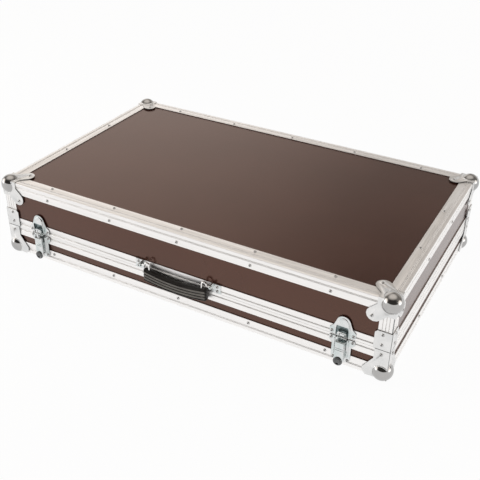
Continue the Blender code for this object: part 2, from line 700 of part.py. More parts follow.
def bail_route(end):
    """Middle line of a bail: through the lug, over an arch and down into the grip."""
    lug_outer = BRACKET_CENTRE - BRACKET_WIDTH / 2 + BRACKET_LUG_THICKNESS + SEAT_GAP
    shoulder = (BAIL_CENTRE + lug_outer) / 2
    radius = (shoulder - BAIL_CENTRE) / 2
    crown = arc((BAIL_CENTRE + radius, BAIL_CROWN - radius), radius, 0, math.pi, BAIL_ARCH_STEPS)
    points = [(lug_outer, 0), (shoulder + BAIL_RADIUS, 0), *crown, (BAIL_CENTRE, GRIP_TOP_RISE - BAIL_SINK)]
    return [(end * along, rise) for along, rise in points]


def build_bail(case, hand, end, axis):
    """Chrome bail of the handle, with a headed end outside the lug."""
    curve = bpy.data.curves.new("handle_bail_" + hand, "CURVE")
    curve.dimensions = "3D"
    curve.bevel_depth = BAIL_RADIUS
    curve.bevel_resolution = 2
    curve.use_fill_caps = True
    route = bail_route(end)
    spline = curve.splines.new("POLY")
    spline.points.add(len(route) - 1)
    for point, (along, rise) in zip(spline.points, route):
        point.co = (along, 0, rise, 1.0)
    item = bpy.data.objects.new("bail", curve)
    bpy.context.scene.collection.objects.link(item)
    bpy.context.view_layer.update()
    mesh = bpy.data.meshes.new_from_object(item.evaluated_get(bpy.context.evaluated_depsgraph_get()))
    bpy.data.objects.remove(item, do_unlink=True)
    shape = bmesh.new()
    shape.from_mesh(mesh)
    bmesh.ops.remove_doubles(shape, verts=shape.verts[:], dist=SEAT_GAP / 10)
    rod = to_mesh(shape)
    lug_outer = BRACKET_CENTRE - BRACKET_WIDTH / 2 + BRACKET_LUG_THICKNESS + SEAT_GAP
    ends = sorted((end * lug_outer, end * (lug_outer + BAIL_HEAD_THICKNESS)))
    head = cylinder(BAIL_HEAD_RADIUS, "X", 0, 0, *ends, 12)
    case.add_mesh("handle_bail_" + hand, combine([rod, head]), "bail_chrome", axis, "handle_axis", smooth=True)


def grip_section():
    """Section of the grip: a rounded bar with ribs along its outer face, y outward negative."""
    half = GRIP_THICKNESS / 2
    top, foot = GRIP_TOP_RISE, GRIP_TOP_RISE - GRIP_HEIGHT
    corner = GRIP_ROUND
    outer = grooved((-half, foot + corner), (-half, top - corner), GRIP_RIB_SHARES, (1, 0), GRIP_RIB_DEPTH, GRIP_RIB_WIDTH)
    return [
        *outer,
        *arc((-half + corner, top - corner), corner, math.pi, math.pi / 2, 3)[1:],
        *arc((half - corner, top - corner), corner, math.pi / 2, 0, 3),
        *arc((half - corner, foot + corner), corner, 0, -math.pi / 2, 3),
        *arc((-half + corner, foot + corner), corner, -math.pi / 2, -math.pi, 3)[:-1],
    ]


def grip_mesh():
    """The grip: its section spun round the middle of its bow, with softened ends and two bail holes."""
    half = GRIP_LENGTH / 2 - GRIP_END_CAP
    radius = (half ** 2 + GRIP_BOW ** 2) / (2 * GRIP_BOW)
    sweep = 2 * math.asin(half / radius)
    pivot = Vector((0, 0, radius - GRIP_BOW))
    shape = bmesh.new()
    lowered = radius
    start = Matrix.Translation(pivot) @ Matrix.Rotation(sweep / 2, 4, "Y") @ Matrix.Translation((0, 0, -lowered))
    corners = [shape.verts.new(start @ Vector((0, depth, rise))) for depth, rise in grip_section()]
    face = shape.faces.new(corners)
    bmesh.ops.spin(shape, geom=[face], cent=pivot, axis=(0, -1, 0), angle=sweep, steps=GRIP_STEPS, use_duplicate=False)
    for vert in shape.verts:
        turn = math.atan2(vert.co.x, pivot.z - vert.co.z)
        drop = math.hypot(vert.co.x, pivot.z - vert.co.z) - radius
        vert.co = (radius * math.sin(turn), vert.co.y, pivot.z - radius * math.cos(turn) - drop)
    caps = [item for item in shape.faces if len(item.verts) == len(corners)]
    for cap in caps:
        cap.normal_update()
        outward = cap.calc_center_median()
        outward = Vector((math.copysign(1.0, outward.x), 0, 0))
        pushed = bmesh.ops.extrude_face_region(shape, geom=[cap])
        moved = [item for item in pushed["geom"] if isinstance(item, bmesh.types.BMVert)]
        middle = sum((vert.co for vert in moved), Vector()) / len(moved)
        soften = 1 - GRIP_END_CAP / GRIP_THICKNESS
        for vert in moved:
            vert.co = middle + (vert.co - middle) * soften + outward * GRIP_END_CAP
        if cap.is_valid:
            bmesh.ops.delete(shape, geom=[cap], context="FACES_ONLY")
    solid = to_mesh(shape)
    hole_radius = BAIL_RADIUS + SEAT_GAP
    low = GRIP_TOP_RISE - BAIL_SINK - SEAT_GAP
    holes = [
        cylinder(hole_radius, "Z", end * BAIL_CENTRE, 0, low, GRIP_HEIGHT, 12)
        for end in (-1, 1)
    ]
    return combine([solid], holes)


def mirrored(right_half):
    """Close an outline from its right half, which runs from the foot up."""
    return [*right_half, *[(-first, second) for first, second in reversed(right_half) if first > 0]]


def keeper_outline():
    """Keeper plate: wide ears at the parting line and a rounded apex above."""
    apex = (0, KEEPER_HEIGHT - KEEPER_APEX_RADIUS)
    return mirrored([
        (KEEPER_HALF_WIDTH - KEEPER_RISE, KEEPER_RISE), (KEEPER_HALF_WIDTH, KEEPER_RISE * 2),
        (KEEPER_HALF_WIDTH, KEEPER_SHOULDER), (KEEPER_NECK_HALF_WIDTH, KEEPER_NECK),
        *arc(apex, KEEPER_APEX_RADIUS, math.pi / 8, math.pi / 2, 4),
    ])


def hood_oval(margin):
    """Outline of the keeper's hood, less a margin: straight legs below and a half oval above."""
    half = KEEPER_ARCH_RADIUS - margin
    height = KEEPER_HOOD_HEIGHT - margin
    crown = [(half * math.cos(turn), KEEPER_ARCH_CENTRE + height * math.sin(turn))
             for turn in (math.pi * step / HOOD_STEPS for step in range(HOOD_STEPS + 1))]
    foot = KEEPER_RISE - margin
    return [(half, foot), *crown, (-half, foot)]


def keeper_hood(under):
    """Hood pressed out of the keeper: it slopes up from the apex to a rim and is open below the rim."""
    rim = KEEPER_ARCH_CENTRE + KEEPER_HOOD_RIM
    top = KEEPER_ARCH_CENTRE + KEEPER_HOOD_HEIGHT + CUT_OVERRUN
    past = -KEEPER_HOOD_REACH - CUT_OVERRUN
    wall = KEEPER_ARCH_WALL
    outside = prism([
        (past, 0), (-KEEPER_ARCH_REACH, 0), (-KEEPER_ARCH_REACH, KEEPER_ARCH_CENTRE), (-KEEPER_HOOD_REACH, rim),
        (-LATCH_REACH - SEAT_GAP, top), (past, top),
    ], "X", -KEEPER_HALF_WIDTH, KEEPER_HALF_WIDTH)
    roof = prism([
        (past - CUT_OVERRUN, rim), (-KEEPER_HOOD_REACH + wall, rim), (-LATCH_REACH - SEAT_GAP + wall, top),
        (past - CUT_OVERRUN, top),
    ], "X", -KEEPER_HALF_WIDTH, KEEPER_HALF_WIDTH)
    body = prism(hood_oval(0), "Y", -KEEPER_HOOD_REACH, under)
    hollow = combine([prism(hood_oval(wall), "Y", past, SEAT_GAP - LATCH_REACH)], [roof])
    return combine([body], [outside, hollow])


def keeper_mesh():
    """Keeper: plate, a hood that shields the hook, and the turned-up lip that the hook pulls on."""
    plate = prism(keeper_outline(), "Y", -LATCH_REACH, -SEAT_GAP)
    under = -SEAT_GAP - LATCH_PLATE / 2
    hood = keeper_hood(under)
    opening = arc((0, KEEPER_ARCH_CENTRE), KEEPER_WINDOW_RADIUS, 0, math.pi, 8)
    window = prism(opening, "Y", -LATCH_REACH - CUT_OVERRUN, CUT_OVERRUN)
    shelf_top = KEEPER_LIP_RISE + KEEPER_LIP_THICKNESS
    inner_tip = -KEEPER_LIP_REACH + KEEPER_TIP_THICKNESS
    lip_outline = [
        (under, KEEPER_LIP_RISE), (-KEEPER_LIP_REACH, KEEPER_LIP_RISE),
        (-KEEPER_LIP_REACH, KEEPER_LIP_RISE + KEEPER_TIP_HEIGHT), (inner_tip, KEEPER_LIP_RISE + KEEPER_TIP_HEIGHT),
        (inner_tip, shelf_top), (under, shelf_top),
    ]
    lip = prism(lip_outline, "X", -KEEPER_LIP_HALF_WIDTH, KEEPER_LIP_HALF_WIDTH)
    return riveted(combine([plate, hood, lip], [window]), [
        rivet("Y", KEEPER_RIVET_SIDE, KEEPER_RIVET_SIDE_RISE, -LATCH_REACH),
        rivet("Y", -KEEPER_RIVET_SIDE, KEEPER_RIVET_SIDE_RISE, -LATCH_REACH),
    ])


def base_plate_mesh():
    """Latch plate on the base with two upright guides for the slider and a hole for the spindle."""
    foot_centre = LATCH_FOOT_RADIUS - LATCH_LENGTH
    right = [
        *arc((LATCH_WAIST_HALF_WIDTH - LATCH_FOOT_RADIUS, foot_centre), LATCH_FOOT_RADIUS, -math.pi / 2, 0, 4),
        (LATCH_WAIST_HALF_WIDTH, -LATCH_WAIST_DROP), (LATCH_HALF_WIDTH, -LATCH_EAR_DROP),
        (LATCH_HALF_WIDTH, -KEEPER_RISE * 2), (LATCH_HALF_WIDTH - KEEPER_RISE, -KEEPER_RISE),
    ]
    plate = prism(mirrored(right), "Y", -LATCH_REACH, -SEAT_GAP)
    near = SLIDER_HALF_WIDTH + SEAT_GAP
    under = -SEAT_GAP - LATCH_PLATE / 2
    guides = [
        block((min(hand * near, hand * (near + LATCH_PLATE)), -GUIDE_REACH, -GUIDE_FOOT_DROP),
              (max(hand * near, hand * (near + LATCH_PLATE)), under, -GUIDE_TOP_DROP))
        for hand in (-1, 1)
    ]
    hole_radius = SPINDLE_SHAFT_RADIUS + SEAT_GAP
    hole = cylinder(hole_radius, "Y", 0, -SPINDLE_DROP, -LATCH_REACH - CUT_OVERRUN, CUT_OVERRUN)
    heads = []
    for hand in (-1, 1):
        heads.append(rivet("Y", hand * LATCH_RIVET_SIDE, -LATCH_RIVET_SIDE_DROP, -LATCH_REACH))
        heads.append(rivet("Y", hand * LATCH_RIVET_FOOT_SIDE, -LATCH_RIVET_FOOT_DROP, -LATCH_REACH))
    return riveted(combine([plate, *guides], [hole]), heads)


def slider_layer():
    """Reach of the slider's inner and outer faces from the case's front."""
    inner = LATCH_REACH + SEAT_GAP
    return inner, inner + SLIDER_THICKNESS


def slider_mesh():
    """Slider: a plate with a yoke slot for the cam and the hook's middle knuckle on its upper end.

    Its frame is the hook's axis at rest.
    """
    inner, outer = slider_layer()
    axis_reach = inner + HOOK_KNUCKLE_RADIUS
    knuckle = HOOK_KNUCKLE_RADIUS
    slot_middle = -SPINDLE_DROP + DRAW_TRAVEL / 2 + HOOK_AXIS_DROP
    slot_half = CAM_RADIUS + CAM_SLACK
    foot = slot_middle - slot_half - SLIDER_END_BAR
    shoulder = -knuckle - SEAT_GAP * 2
    outline = mirrored([
        (SLIDER_HALF_WIDTH - SLIDER_END_BAR / 2, foot), (SLIDER_HALF_WIDTH, foot + SLIDER_END_BAR / 2),
        (SLIDER_HALF_WIDTH, shoulder), (HOOK_KNUCKLE_HALF_WIDTH, shoulder), (HOOK_KNUCKLE_HALF_WIDTH, 0),
    ])
    plate = prism(outline, "Y", axis_reach - outer, axis_reach - inner)
    barrel = cylinder(knuckle, "X", 0, 0, -HOOK_KNUCKLE_HALF_WIDTH, HOOK_KNUCKLE_HALF_WIDTH, 12)
    slot_reach = CAM_RADIUS + DRAW_TRAVEL / 2 + SEAT_GAP
    slot = block((-slot_reach, -knuckle, slot_middle - slot_half), (slot_reach, knuckle + CUT_OVERRUN, slot_middle + slot_half))
    pin_hole = HOOK_PIN_RADIUS + SEAT_GAP
    overrun = HOOK_KNUCKLE_HALF_WIDTH + CUT_OVERRUN
    bore = cylinder(pin_hole, "X", 0, 0, -overrun, overrun, 12)
    return combine([plate, barrel], [slot, bore])


def hook_mesh():
    """Hook: a windowed strap on two knuckles with the pin between them, drawn upright.

    Its frame is its own axis.
    """
    inner, outer = slider_layer()
    axis_reach = inner + HOOK_KNUCKLE_RADIUS
    lip_top = KEEPER_LIP_RISE + KEEPER_LIP_THICKNESS
    bar_foot = lip_top + SEAT_GAP + HOOK_AXIS_DROP + DRAW_TRAVEL
    top = bar_foot + HOOK_BAR
    near = HOOK_KNUCKLE_HALF_WIDTH + SEAT_GAP
    outline = mirrored([
        (HOOK_HALF_WIDTH, 0), (HOOK_HALF_WIDTH, top - HOOK_CORNER), (HOOK_HALF_WIDTH - HOOK_CORNER, top),
    ])
    strap = prism(outline, "Y", axis_reach - outer, axis_reach - inner)
    knuckles = [
        cylinder(HOOK_KNUCKLE_RADIUS, "X", 0, 0, *sorted((hand * near, hand * HOOK_HALF_WIDTH)), 12)
        for hand in (-1, 1)
    ]
    pin = cylinder(HOOK_PIN_RADIUS, "X", 0, 0, -HOOK_HALF_WIDTH + SEAT_GAP, HOOK_HALF_WIDTH - SEAT_GAP, 12)
    window_half = KEEPER_LIP_HALF_WIDTH + HOOK_WINDOW_CLEARANCE
    side = HOOK_KNUCKLE_RADIUS + CUT_OVERRUN
    window = block((-window_half, -side, bar_foot - HOOK_WINDOW_RUN), (window_half, side, bar_foot))
    clearance = HOOK_KNUCKLE_RADIUS + SEAT_GAP * 2
    notch = block((-near, -side, -clearance), (near, side, clearance))
    return combine([combine([strap], [notch, window]), *knuckles, pin])


def spindle_mesh():
    """Spindle: shaft, cam and head in one, with two lugs and the wing's cross pin.

    Its frame is the turning axis on the case's front.
    """
    inner, outer = slider_layer()
    head_low = outer + SEAT_GAP
    head_high = head_low + HEAD_THICKNESS
    shaft = cylinder(SPINDLE_SHAFT_RADIUS, "Y", 0, 0, -inner - CUT_OVERRUN / 2, -SEAT_GAP)
    cam = cylinder(CAM_RADIUS, "Y", 0, DRAW_TRAVEL / 2, -head_low - CUT_OVERRUN / 2, -inner)
    head = cylinder(HEAD_RADIUS, "Y", 0, 0, -head_high, -head_low)
    rise = SPINDLE_DROP - WING_AXIS_DROP
    wing_inner = WING_HALF_WIDTH - WING_WALL
    lugs = []
    for hand in (-1, 1):
        nose = arc((-WING_AXIS_REACH, rise), WING_LUG_RADIUS, 0, math.pi, 8)
        root = -head_high + HEAD_THICKNESS / 2
        outline = [*nose, (-WING_NECK_WAIST, WING_NECK_RISE), (root, WING_NECK_FOOT), (root, WING_NECK_ROOT),
                   (-WING_NECK_REACH, WING_NECK_RISE)]
        ends = sorted((hand * (wing_inner - SEAT_GAP), hand * (wing_inner - SEAT_GAP - WING_LUG_THICKNESS)))
        lugs.append(prism(outline, "X", *ends))
    reach = WING_HALF_WIDTH + WING_PIN_PROUD
    pin = cylinder(WING_PIN_RADIUS, "X", -WING_AXIS_REACH, rise, -reach, reach, 12)
    return combine([head, cam, shaft, *lugs, pin])


def wing_mesh():
    """Wing: a channel with a round foot, open towards the case, with two cross ribs pressed in.

    Its frame is its hinge axis.
    """
    foot = WING_AXIS_DROP - WING_FOOT_DROP
    head = WING_HEAD_RISE
    outer_face = WING_AXIS_REACH - WING_OUTER_REACH
    inner_face = WING_AXIS_REACH - WING_INNER_REACH
    round_foot = arc((0, foot + WING_HALF_WIDTH), WING_HALF_WIDTH, -math.pi / 2, 0, 6)
    outline = mirrored([*round_foot, (WING_HALF_WIDTH, head)])
    shape = bmesh.new()
    shape.from_mesh(prism(outline, "Y", outer_face, inner_face))
    rim = [edge for edge in shape.edges if all(vert.co.y < outer_face + SEAT_GAP for vert in edge.verts)]
    bmesh.ops.bevel(shape, geom=rim, offset=WING_EDGE_ROUND, segments=2, profile=0.5, affect="EDGES", material=-1)
    body = to_mesh(shape)
    inner_half = WING_HALF_WIDTH - WING_WALL
    inner_round = arc((0, foot + WING_HALF_WIDTH), inner_half, -math.pi / 2, 0, 6)
    hollow_outline = mirrored([*inner_round, (inner_half, head + CUT_OVERRUN)])
    hollow = prism(hollow_outline, "Y", outer_face + WING_WALL, inner_face + CUT_OVERRUN)
    hole = cylinder(WING_PIN_RADIUS + SEAT_GAP, "X", 0, 0, -WING_HALF_WIDTH - CUT_OVERRUN, WING_HALF_WIDTH + CUT_OVERRUN, 12)
    grooves = []
    for share in WING_RIB_SHARES:
        middle = head + (foot - head) * share
        section = [
            (outer_face - CUT_OVERRUN, middle - WING_RIB_WIDTH), (outer_face + WING_RIB_DEPTH, middle),
            (outer_face - CUT_OVERRUN, middle + WING_RIB_WIDTH),
        ]
        grooves.append(prism(section, "X", -WING_HALF_WIDTH - CUT_OVERRUN, WING_HALF_WIDTH + CUT_OVERRUN))
    taper = prism([
        (inner_face + CUT_OVERRUN, foot - CUT_OVERRUN), (outer_face + WING_WALL, foot - CUT_OVERRUN),
        (outer_face + WING_WALL, foot), (inner_face, foot + WING_TAPER_RUN),
        (inner_face + CUT_OVERRUN, foot + WING_TAPER_RUN),
    ], "X", -WING_HALF_WIDTH - CUT_OVERRUN, WING_HALF_WIDTH + CUT_OVERRUN)
    corner = head + CUT_OVERRUN
    trim = block((-WING_HALF_WIDTH - CUT_OVERRUN, outer_face - CUT_OVERRUN, head - WING_WALL),
                 (WING_HALF_WIDTH + CUT_OVERRUN, outer_face + WING_WALL, corner))
    return combine([body], [hollow, taper, hole, *grooves, trim])


def build_latches(case):
    """Two butterfly latches, drawn released: the hook stands raised and tipped clear of its keeper."""
    inner, _ = slider_layer()
    hook_reach = inner + HOOK_KNUCKLE_RADIUS
    for hand, end in (("left", -1), ("right", 1)):
        label = "latch_" + hand + "_"
        along = end * LATCH_CENTRE
        foot = front_place(along, 0, 0)
        turn = front_place(along, 0, -SPINDLE_DROP)
        tilt = front_place(along, hook_reach, -HOOK_AXIS_DROP)
        fold = front_place(along, WING_AXIS_REACH, -WING_AXIS_DROP)
        case.add_axis(label + "turn_axis", turn.translation)
        case.add_axis(label + "slide_axis", tilt.translation)
        case.add_axis(label + "tilt_axis", tilt.translation, label + "slide_axis")
        case.add_axis(label + "fold_axis", fold.translation, label + "turn_axis")
        case.add_mesh(label + "keeper", keeper_mesh(), "zinc_plate", foot, "lid_axis", smooth=True)
        case.add_mesh(label + "base_plate", base_plate_mesh(), "zinc_plate", foot, smooth=True)
        case.add_mesh(label + "slider", slider_mesh(), "zinc_plate", tilt, label + "slide_axis", smooth=True)
        leaning = tilt @ Matrix.Rotation(HOOK_TILT, 4, "X")
        case.add_mesh(label + "hook", hook_mesh(), "zinc_plate", leaning, label + "tilt_axis", smooth=True)
        case.add_mesh(label + "spindle", spindle_mesh(), "zinc_plate", turn, label + "turn_axis", smooth=True)
        case.add_mesh(label + "wing", wing_mesh(), "zinc_plate", fold, label + "fold_axis", smooth=True)


def leaf_mesh(upper):
    """One leaf of a hinge: a plate with tabs that end in its share of the knuckles, about the hinge axis."""
    up = 1 if upper else -1
    near = HINGE_KNUCKLE_RADIUS + SEAT_GAP
    plate_in = HINGE_AXIS_REACH - SEAT_GAP
    plate_out = plate_in - HINGE_LEAF_THICKNESS
    half = HINGE_LENGTH / 2
    far = HINGE_LEAF_HEIGHT
    pitch = HINGE_LENGTH / HINGE_KNUCKLE_COUNT
    outline = [(half, near), (half, far - HINGE_CORNER), (half - HINGE_CORNER, far),
               (-half + HINGE_CORNER, far), (-half, far - HINGE_CORNER), (-half, near)]
    barrels = []
    for index in range(1 if upper else 0, HINGE_KNUCKLE_COUNT, 2):
        low = -half + index * pitch + SEAT_GAP / 2
        high = low + pitch - SEAT_GAP
        outline += [(low, near), (low, 0), (high, 0), (high, near)]
        barrels.append(cylinder(HINGE_KNUCKLE_RADIUS, "X", 0, 0, low, high, 16))
    plate = prism([(along, up * rise) for along, rise in outline], "Y", plate_out, plate_in)
    bore_radius = HINGE_PIN_RADIUS + SEAT_GAP
    bore = cylinder(bore_radius, "X", 0, 0, -half - CUT_OVERRUN, half + CUT_OVERRUN, 12)
    heads = [rivet("Y", spot * HINGE_RIVET_SPACING, up * HINGE_RIVET_OFFSET, plate_out) for spot in (-1, 0, 1)]
    return riveted(combine([plate, *barrels], [bore]), heads)


def hinge_pin_mesh():
    """Hinge pin with a flat head at each end."""
    half = HINGE_LENGTH / 2
    low = half + SEAT_GAP
    high = low + HINGE_PIN_HEAD_THICKNESS
    rod = cylinder(HINGE_PIN_RADIUS, "X", 0, 0, -low - HINGE_PIN_HEAD_THICKNESS / 2, low + HINGE_PIN_HEAD_THICKNESS / 2, 12)
    heads = [cylinder(HINGE_PIN_HEAD_RADIUS, "X", 0, 0, *sorted((end * low, end * high)), 12) for end in (-1, 1)]
    return combine([rod, *heads])


def hinge_axis_place(along):
    """World matrix of a point on the hinge axis, in the back face's frame."""
    return side_frame("back") @ Matrix.Translation((along, -HINGE_AXIS_REACH, BASE_HEIGHT))


def build_hinges(case):
    """Two butt hinges on the back, in line."""
    for hand, end in (("left", 1), ("right", -1)):
        place = hinge_axis_place(end * HINGE_CENTRE)
        label = "hinge_" + hand + "_"
        case.add_mesh(label + "lid_leaf", leaf_mesh(True), "zinc_plate", place, "lid_axis", smooth=True)
        case.add_mesh(label + "base_leaf", leaf_mesh(False), "zinc_plate", place, smooth=True)
        case.add_mesh(label + "pin", hinge_pin_mesh(), "zinc_plate", place, smooth=True)


def main():
    """Build the case."""
    clear_scene()
    case = Assembly("keyboard_case")
    case.add_axis("lid_axis", hinge_axis_place(0).translation)
    build_panels(case)
    build_extrusions(case)
    build_corners(case)
    build_foam(case)
    build_handle(case)
    build_latches(case)
    build_hinges(case)


main()
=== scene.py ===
"""Looks for the keyboard case: finishes, fine hardware, foam lining, studio and camera.

Every length is in metres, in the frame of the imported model: the front faces -Y and z = 0 is the floor.
"""
import json
import logging
import math
from dataclasses import dataclass, field
from enum import Enum
from typing import Callable, Optional, Sequence, Union

import bmesh
import bpy
from mathutils import Matrix, Vector, noise as field_noise

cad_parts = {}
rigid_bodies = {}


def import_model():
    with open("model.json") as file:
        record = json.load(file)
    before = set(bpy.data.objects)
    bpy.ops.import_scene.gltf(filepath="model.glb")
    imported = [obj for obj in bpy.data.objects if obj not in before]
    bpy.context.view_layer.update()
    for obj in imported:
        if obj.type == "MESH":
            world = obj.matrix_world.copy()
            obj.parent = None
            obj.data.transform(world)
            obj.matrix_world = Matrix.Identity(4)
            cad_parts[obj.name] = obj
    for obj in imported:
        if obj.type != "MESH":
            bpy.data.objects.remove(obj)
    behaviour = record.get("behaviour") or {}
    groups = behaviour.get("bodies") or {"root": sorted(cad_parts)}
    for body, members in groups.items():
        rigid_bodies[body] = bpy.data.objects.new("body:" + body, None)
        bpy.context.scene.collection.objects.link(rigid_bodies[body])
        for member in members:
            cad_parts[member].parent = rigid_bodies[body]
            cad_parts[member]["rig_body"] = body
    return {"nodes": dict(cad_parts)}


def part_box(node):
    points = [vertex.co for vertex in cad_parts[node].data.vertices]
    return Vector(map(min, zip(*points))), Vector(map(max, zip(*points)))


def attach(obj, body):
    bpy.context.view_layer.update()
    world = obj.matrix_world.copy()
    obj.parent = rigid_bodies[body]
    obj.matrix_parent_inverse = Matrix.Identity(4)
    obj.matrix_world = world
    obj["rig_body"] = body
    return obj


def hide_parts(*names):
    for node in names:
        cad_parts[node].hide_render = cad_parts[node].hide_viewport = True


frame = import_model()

LOG = logging.getLogger("keyboard_case")
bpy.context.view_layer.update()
Colour = tuple[float, float, float]
Socket = bpy.types.NodeSocket
Tree = bpy.types.NodeTree


class Run(Enum):
    """The way a drawn grain runs: the stretch of its pattern on each axis."""

    ALONG_X = (0.012, 1.0, 1.0)
    ALONG_Y = (1.0, 0.012, 1.0)
    ALONG_Z = (1.0, 1.0, 0.012)


class Side(Enum):
    """The four upright faces, as quarter turns from the front."""

    FRONT = 0
    RIGHT = 1
    BACK = 2
    LEFT = 3


class Corner(Enum):
    """The four upright corners, as the signs of x and y."""

    FRONT_LEFT = (-1, -1)
    FRONT_RIGHT = (1, -1)
    BACK_RIGHT = (1, 1)
    BACK_LEFT = (-1, 1)

    @property
    def label(self) -> str:
        """The corner's name in the model."""
        return self.name.lower()


class Body(Enum):
    """The bodies that new pieces ride on."""

    BASE = "base"
    LID = "lid"


@dataclass(frozen=True)
class CaseSizes:
    """Sizes of the closed case that new pieces are placed by."""

    width: float = 0.990
    depth: float = 0.600
    height: float = 0.193
    base_height: float = 0.0718
    middle_y: float = 0.0035
    stand: float = 0.0105
    seat_gap: float = 0.0003
    corner_plate: float = 0.0019
    latch_plate: float = 0.0018

    def face(self, side: Side, along: float, reach: float, rise: float) -> Matrix:
        """Frame of a point on an upright face: x along it, y up and z outward.

        Args:
            side: The face.
            along: Distance from its middle, to the right as seen from outside.
            reach: Distance out from the case's face.
            rise: Height above the case's foot.

        Returns:
            The frame in the world.
        """
        turn = Matrix.Rotation(side.value * math.pi / 2, 4, "Z")
        out = (self.depth if side.value % 2 == 0 else self.width) / 2
        place = Matrix.Translation((along, -out - reach, rise))
        lift = Matrix.Translation((0, self.middle_y, self.stand))
        return lift @ turn @ place @ Matrix.Rotation(math.pi / 2, 4, "X")

    def corner(self, corner: Corner, top: bool) -> Matrix:
        """Frame at a corner of the case, with x and y into the case and z up, or down from the top.

        Args:
            corner: The upright corner.
            top: Whether it is the lid's corner.

        Returns:
            The frame in the world, which may be mirrored.
        """
        x_side, y_side = corner.value
        origin = (x_side * self.width / 2, self.middle_y + y_side * self.depth / 2,
                  self.stand + (self.height if top else 0.0))
        return Matrix.Translation(origin) @ Matrix.Diagonal((-x_side, -y_side, -1 if top else 1, 1))

    def standing_out(self, point: Vector) -> Vector:
        """How far a point lies outside the case's faces: in x, in y and in z."""
        return Vector((abs(point.x) - self.width / 2, abs(point.y - self.middle_y) - self.depth / 2,
                       abs(point.z - self.stand - self.height / 2) - self.height / 2))


SIZES = CaseSizes()


def new_material(name: str) -> tuple[bpy.types.Material, bpy.types.Node, Tree]:
    """Make a Principled material.

    Args:
        name: The material's name.

    Returns:
        The material, its shader and its node tree.
    """
    material = bpy.data.materials.new(name)
    material.use_nodes = True
    tree = material.node_tree
    return material, tree.nodes["Principled BSDF"], tree


def object_space(tree: Tree, stretch: Sequence[float] = (1.0, 1.0, 1.0)) -> Socket:
    """Object coordinates, stretched.

    Args:
        tree: The node tree to add to.
        stretch: Factor on each axis.

    Returns:
        The vector socket.
    """
    place = tree.nodes.new("ShaderNodeTexCoord")
    mapping = tree.nodes.new("ShaderNodeMapping")
    mapping.inputs["Scale"].default_value = stretch
    tree.links.new(place.outputs["Object"], mapping.inputs["Vector"])
    return mapping.outputs["Vector"]


def noise(tree: Tree, vector: Socket, scale: float, detail: float = 3.0, roughness: float = 0.5) -> Socket:
    """A noise pattern.

    Args:
        tree: The node tree to add to.
        vector: The coordinates it reads.
        scale: Waves a metre.
        detail: Octaves.
        roughness: How strong the finer octaves are.

    Returns:
        The value socket.
    """
    node = tree.nodes.new("ShaderNodeTexNoise")
    node.inputs["Scale"].default_value = scale
    node.inputs["Detail"].default_value = detail
    node.inputs["Roughness"].default_value = roughness
    tree.links.new(vector, node.inputs["Vector"])
    return node.outputs["Fac"]


def remap(tree: Tree, value: Socket, source: tuple[float, float], target: tuple[float, float]) -> Socket:
    """Map a value smoothly from one range to another, clamped.

    Args:
        tree: The node tree to add to.
        value: The value.
        source: The range it comes in.
        target: The range it leaves in.

    Returns:
        The mapped socket.
    """
    node = tree.nodes.new("ShaderNodeMapRange")
    node.interpolation_type = "SMOOTHSTEP"
    node.inputs["From Min"].default_value, node.inputs["From Max"].default_value = source
    node.inputs["To Min"].default_value, node.inputs["To Max"].default_value = target
    tree.links.new(value, node.inputs["Value"])
    return node.outputs["Result"]


def calculate(tree: Tree, operation: str, first: Union[Socket, float], second: Union[Socket, float],
              clamp: bool = False) -> Socket:
    """A sum, product or other operation on two values.

    Args:
        tree: The node tree to add to.
        operation: The name of the operation.
        first: A socket or a number.
        second: A socket or a number.
        clamp: Whether the result is held between 0 and 1.

    Returns:
        The result.
    """
    node = tree.nodes.new("ShaderNodeMath")
    node.operation = operation
    node.use_clamp = clamp
    for socket, value in zip(node.inputs, (first, second)):
        if isinstance(value, (int, float)):
            socket.default_value = value
        else:
            tree.links.new(value, socket)
    return node.outputs["Value"]


def blend_colours(tree: Tree, value: Socket, stops: Sequence[tuple[float, Colour]]) -> Socket:
    """A colour ramp.

    Args:
        tree: The node tree to add to.
        value: Where along the ramp.
        stops: Place and colour of each stop.

    Returns:
        The colour socket.
    """
    node = tree.nodes.new("ShaderNodeValToRGB")
    ramp = node.color_ramp
    while len(ramp.elements) < len(stops):
        ramp.elements.new(0.5)
    for element, (place, colour) in zip(ramp.elements, stops):
        element.position = place
        element.color = (*colour, 1.0)
    tree.links.new(value, node.inputs["Fac"])
    return node.outputs["Color"]


def relief(tree: Tree, shader: bpy.types.Node, height: Socket, distance: float) -> None:
    """Bump the shader's surface.

    Args:
        tree: The node tree to add to.
        shader: The shader to bump.
        height: The height pattern, 0 to 1.
        distance: How high 1 stands.
    """
    node = tree.nodes.new("ShaderNodeBump")
    node.inputs["Distance"].default_value = distance
    tree.links.new(height, node.inputs["Height"])
    tree.links.new(node.outputs["Normal"], shader.inputs["Normal"])


@dataclass(frozen=True)
class Laminate:
    """Gloss brown film on plywood, with a faint orange peel and cloudy handling marks."""

    colour: Colour = (0.037, 0.0128, 0.0085)
    patch: Colour = (0.047, 0.0170, 0.0116)
    tint: Colour = (1.0, 0.60, 0.47)
    specular: float = 0.96
    gloss: tuple[float, float] = (0.16, 0.20)

    def material(self) -> bpy.types.Material:
        """Build the finish."""
        material, shader, tree = new_material("brown_laminate")
        where = object_space(tree)
        tree.links.new(blend_colours(tree, noise(tree, where, 5.0, 2.0), ((0.35, self.colour), (0.65, self.patch))),
                       shader.inputs["Base Color"])
        marks = noise(tree, object_space(tree, (1.0, 0.35, 1.0)), 60.0, 5.0, 0.6)
        tree.links.new(remap(tree, marks, (0.3, 0.75), self.gloss), shader.inputs["Roughness"])
        shader.inputs["Specular IOR Level"].default_value = self.specular
        shader.inputs["Specular Tint"].default_value = (*self.tint, 1.0)
        relief(tree, shader, noise(tree, where, 420.0, 2.0), 0.000006)
        return material


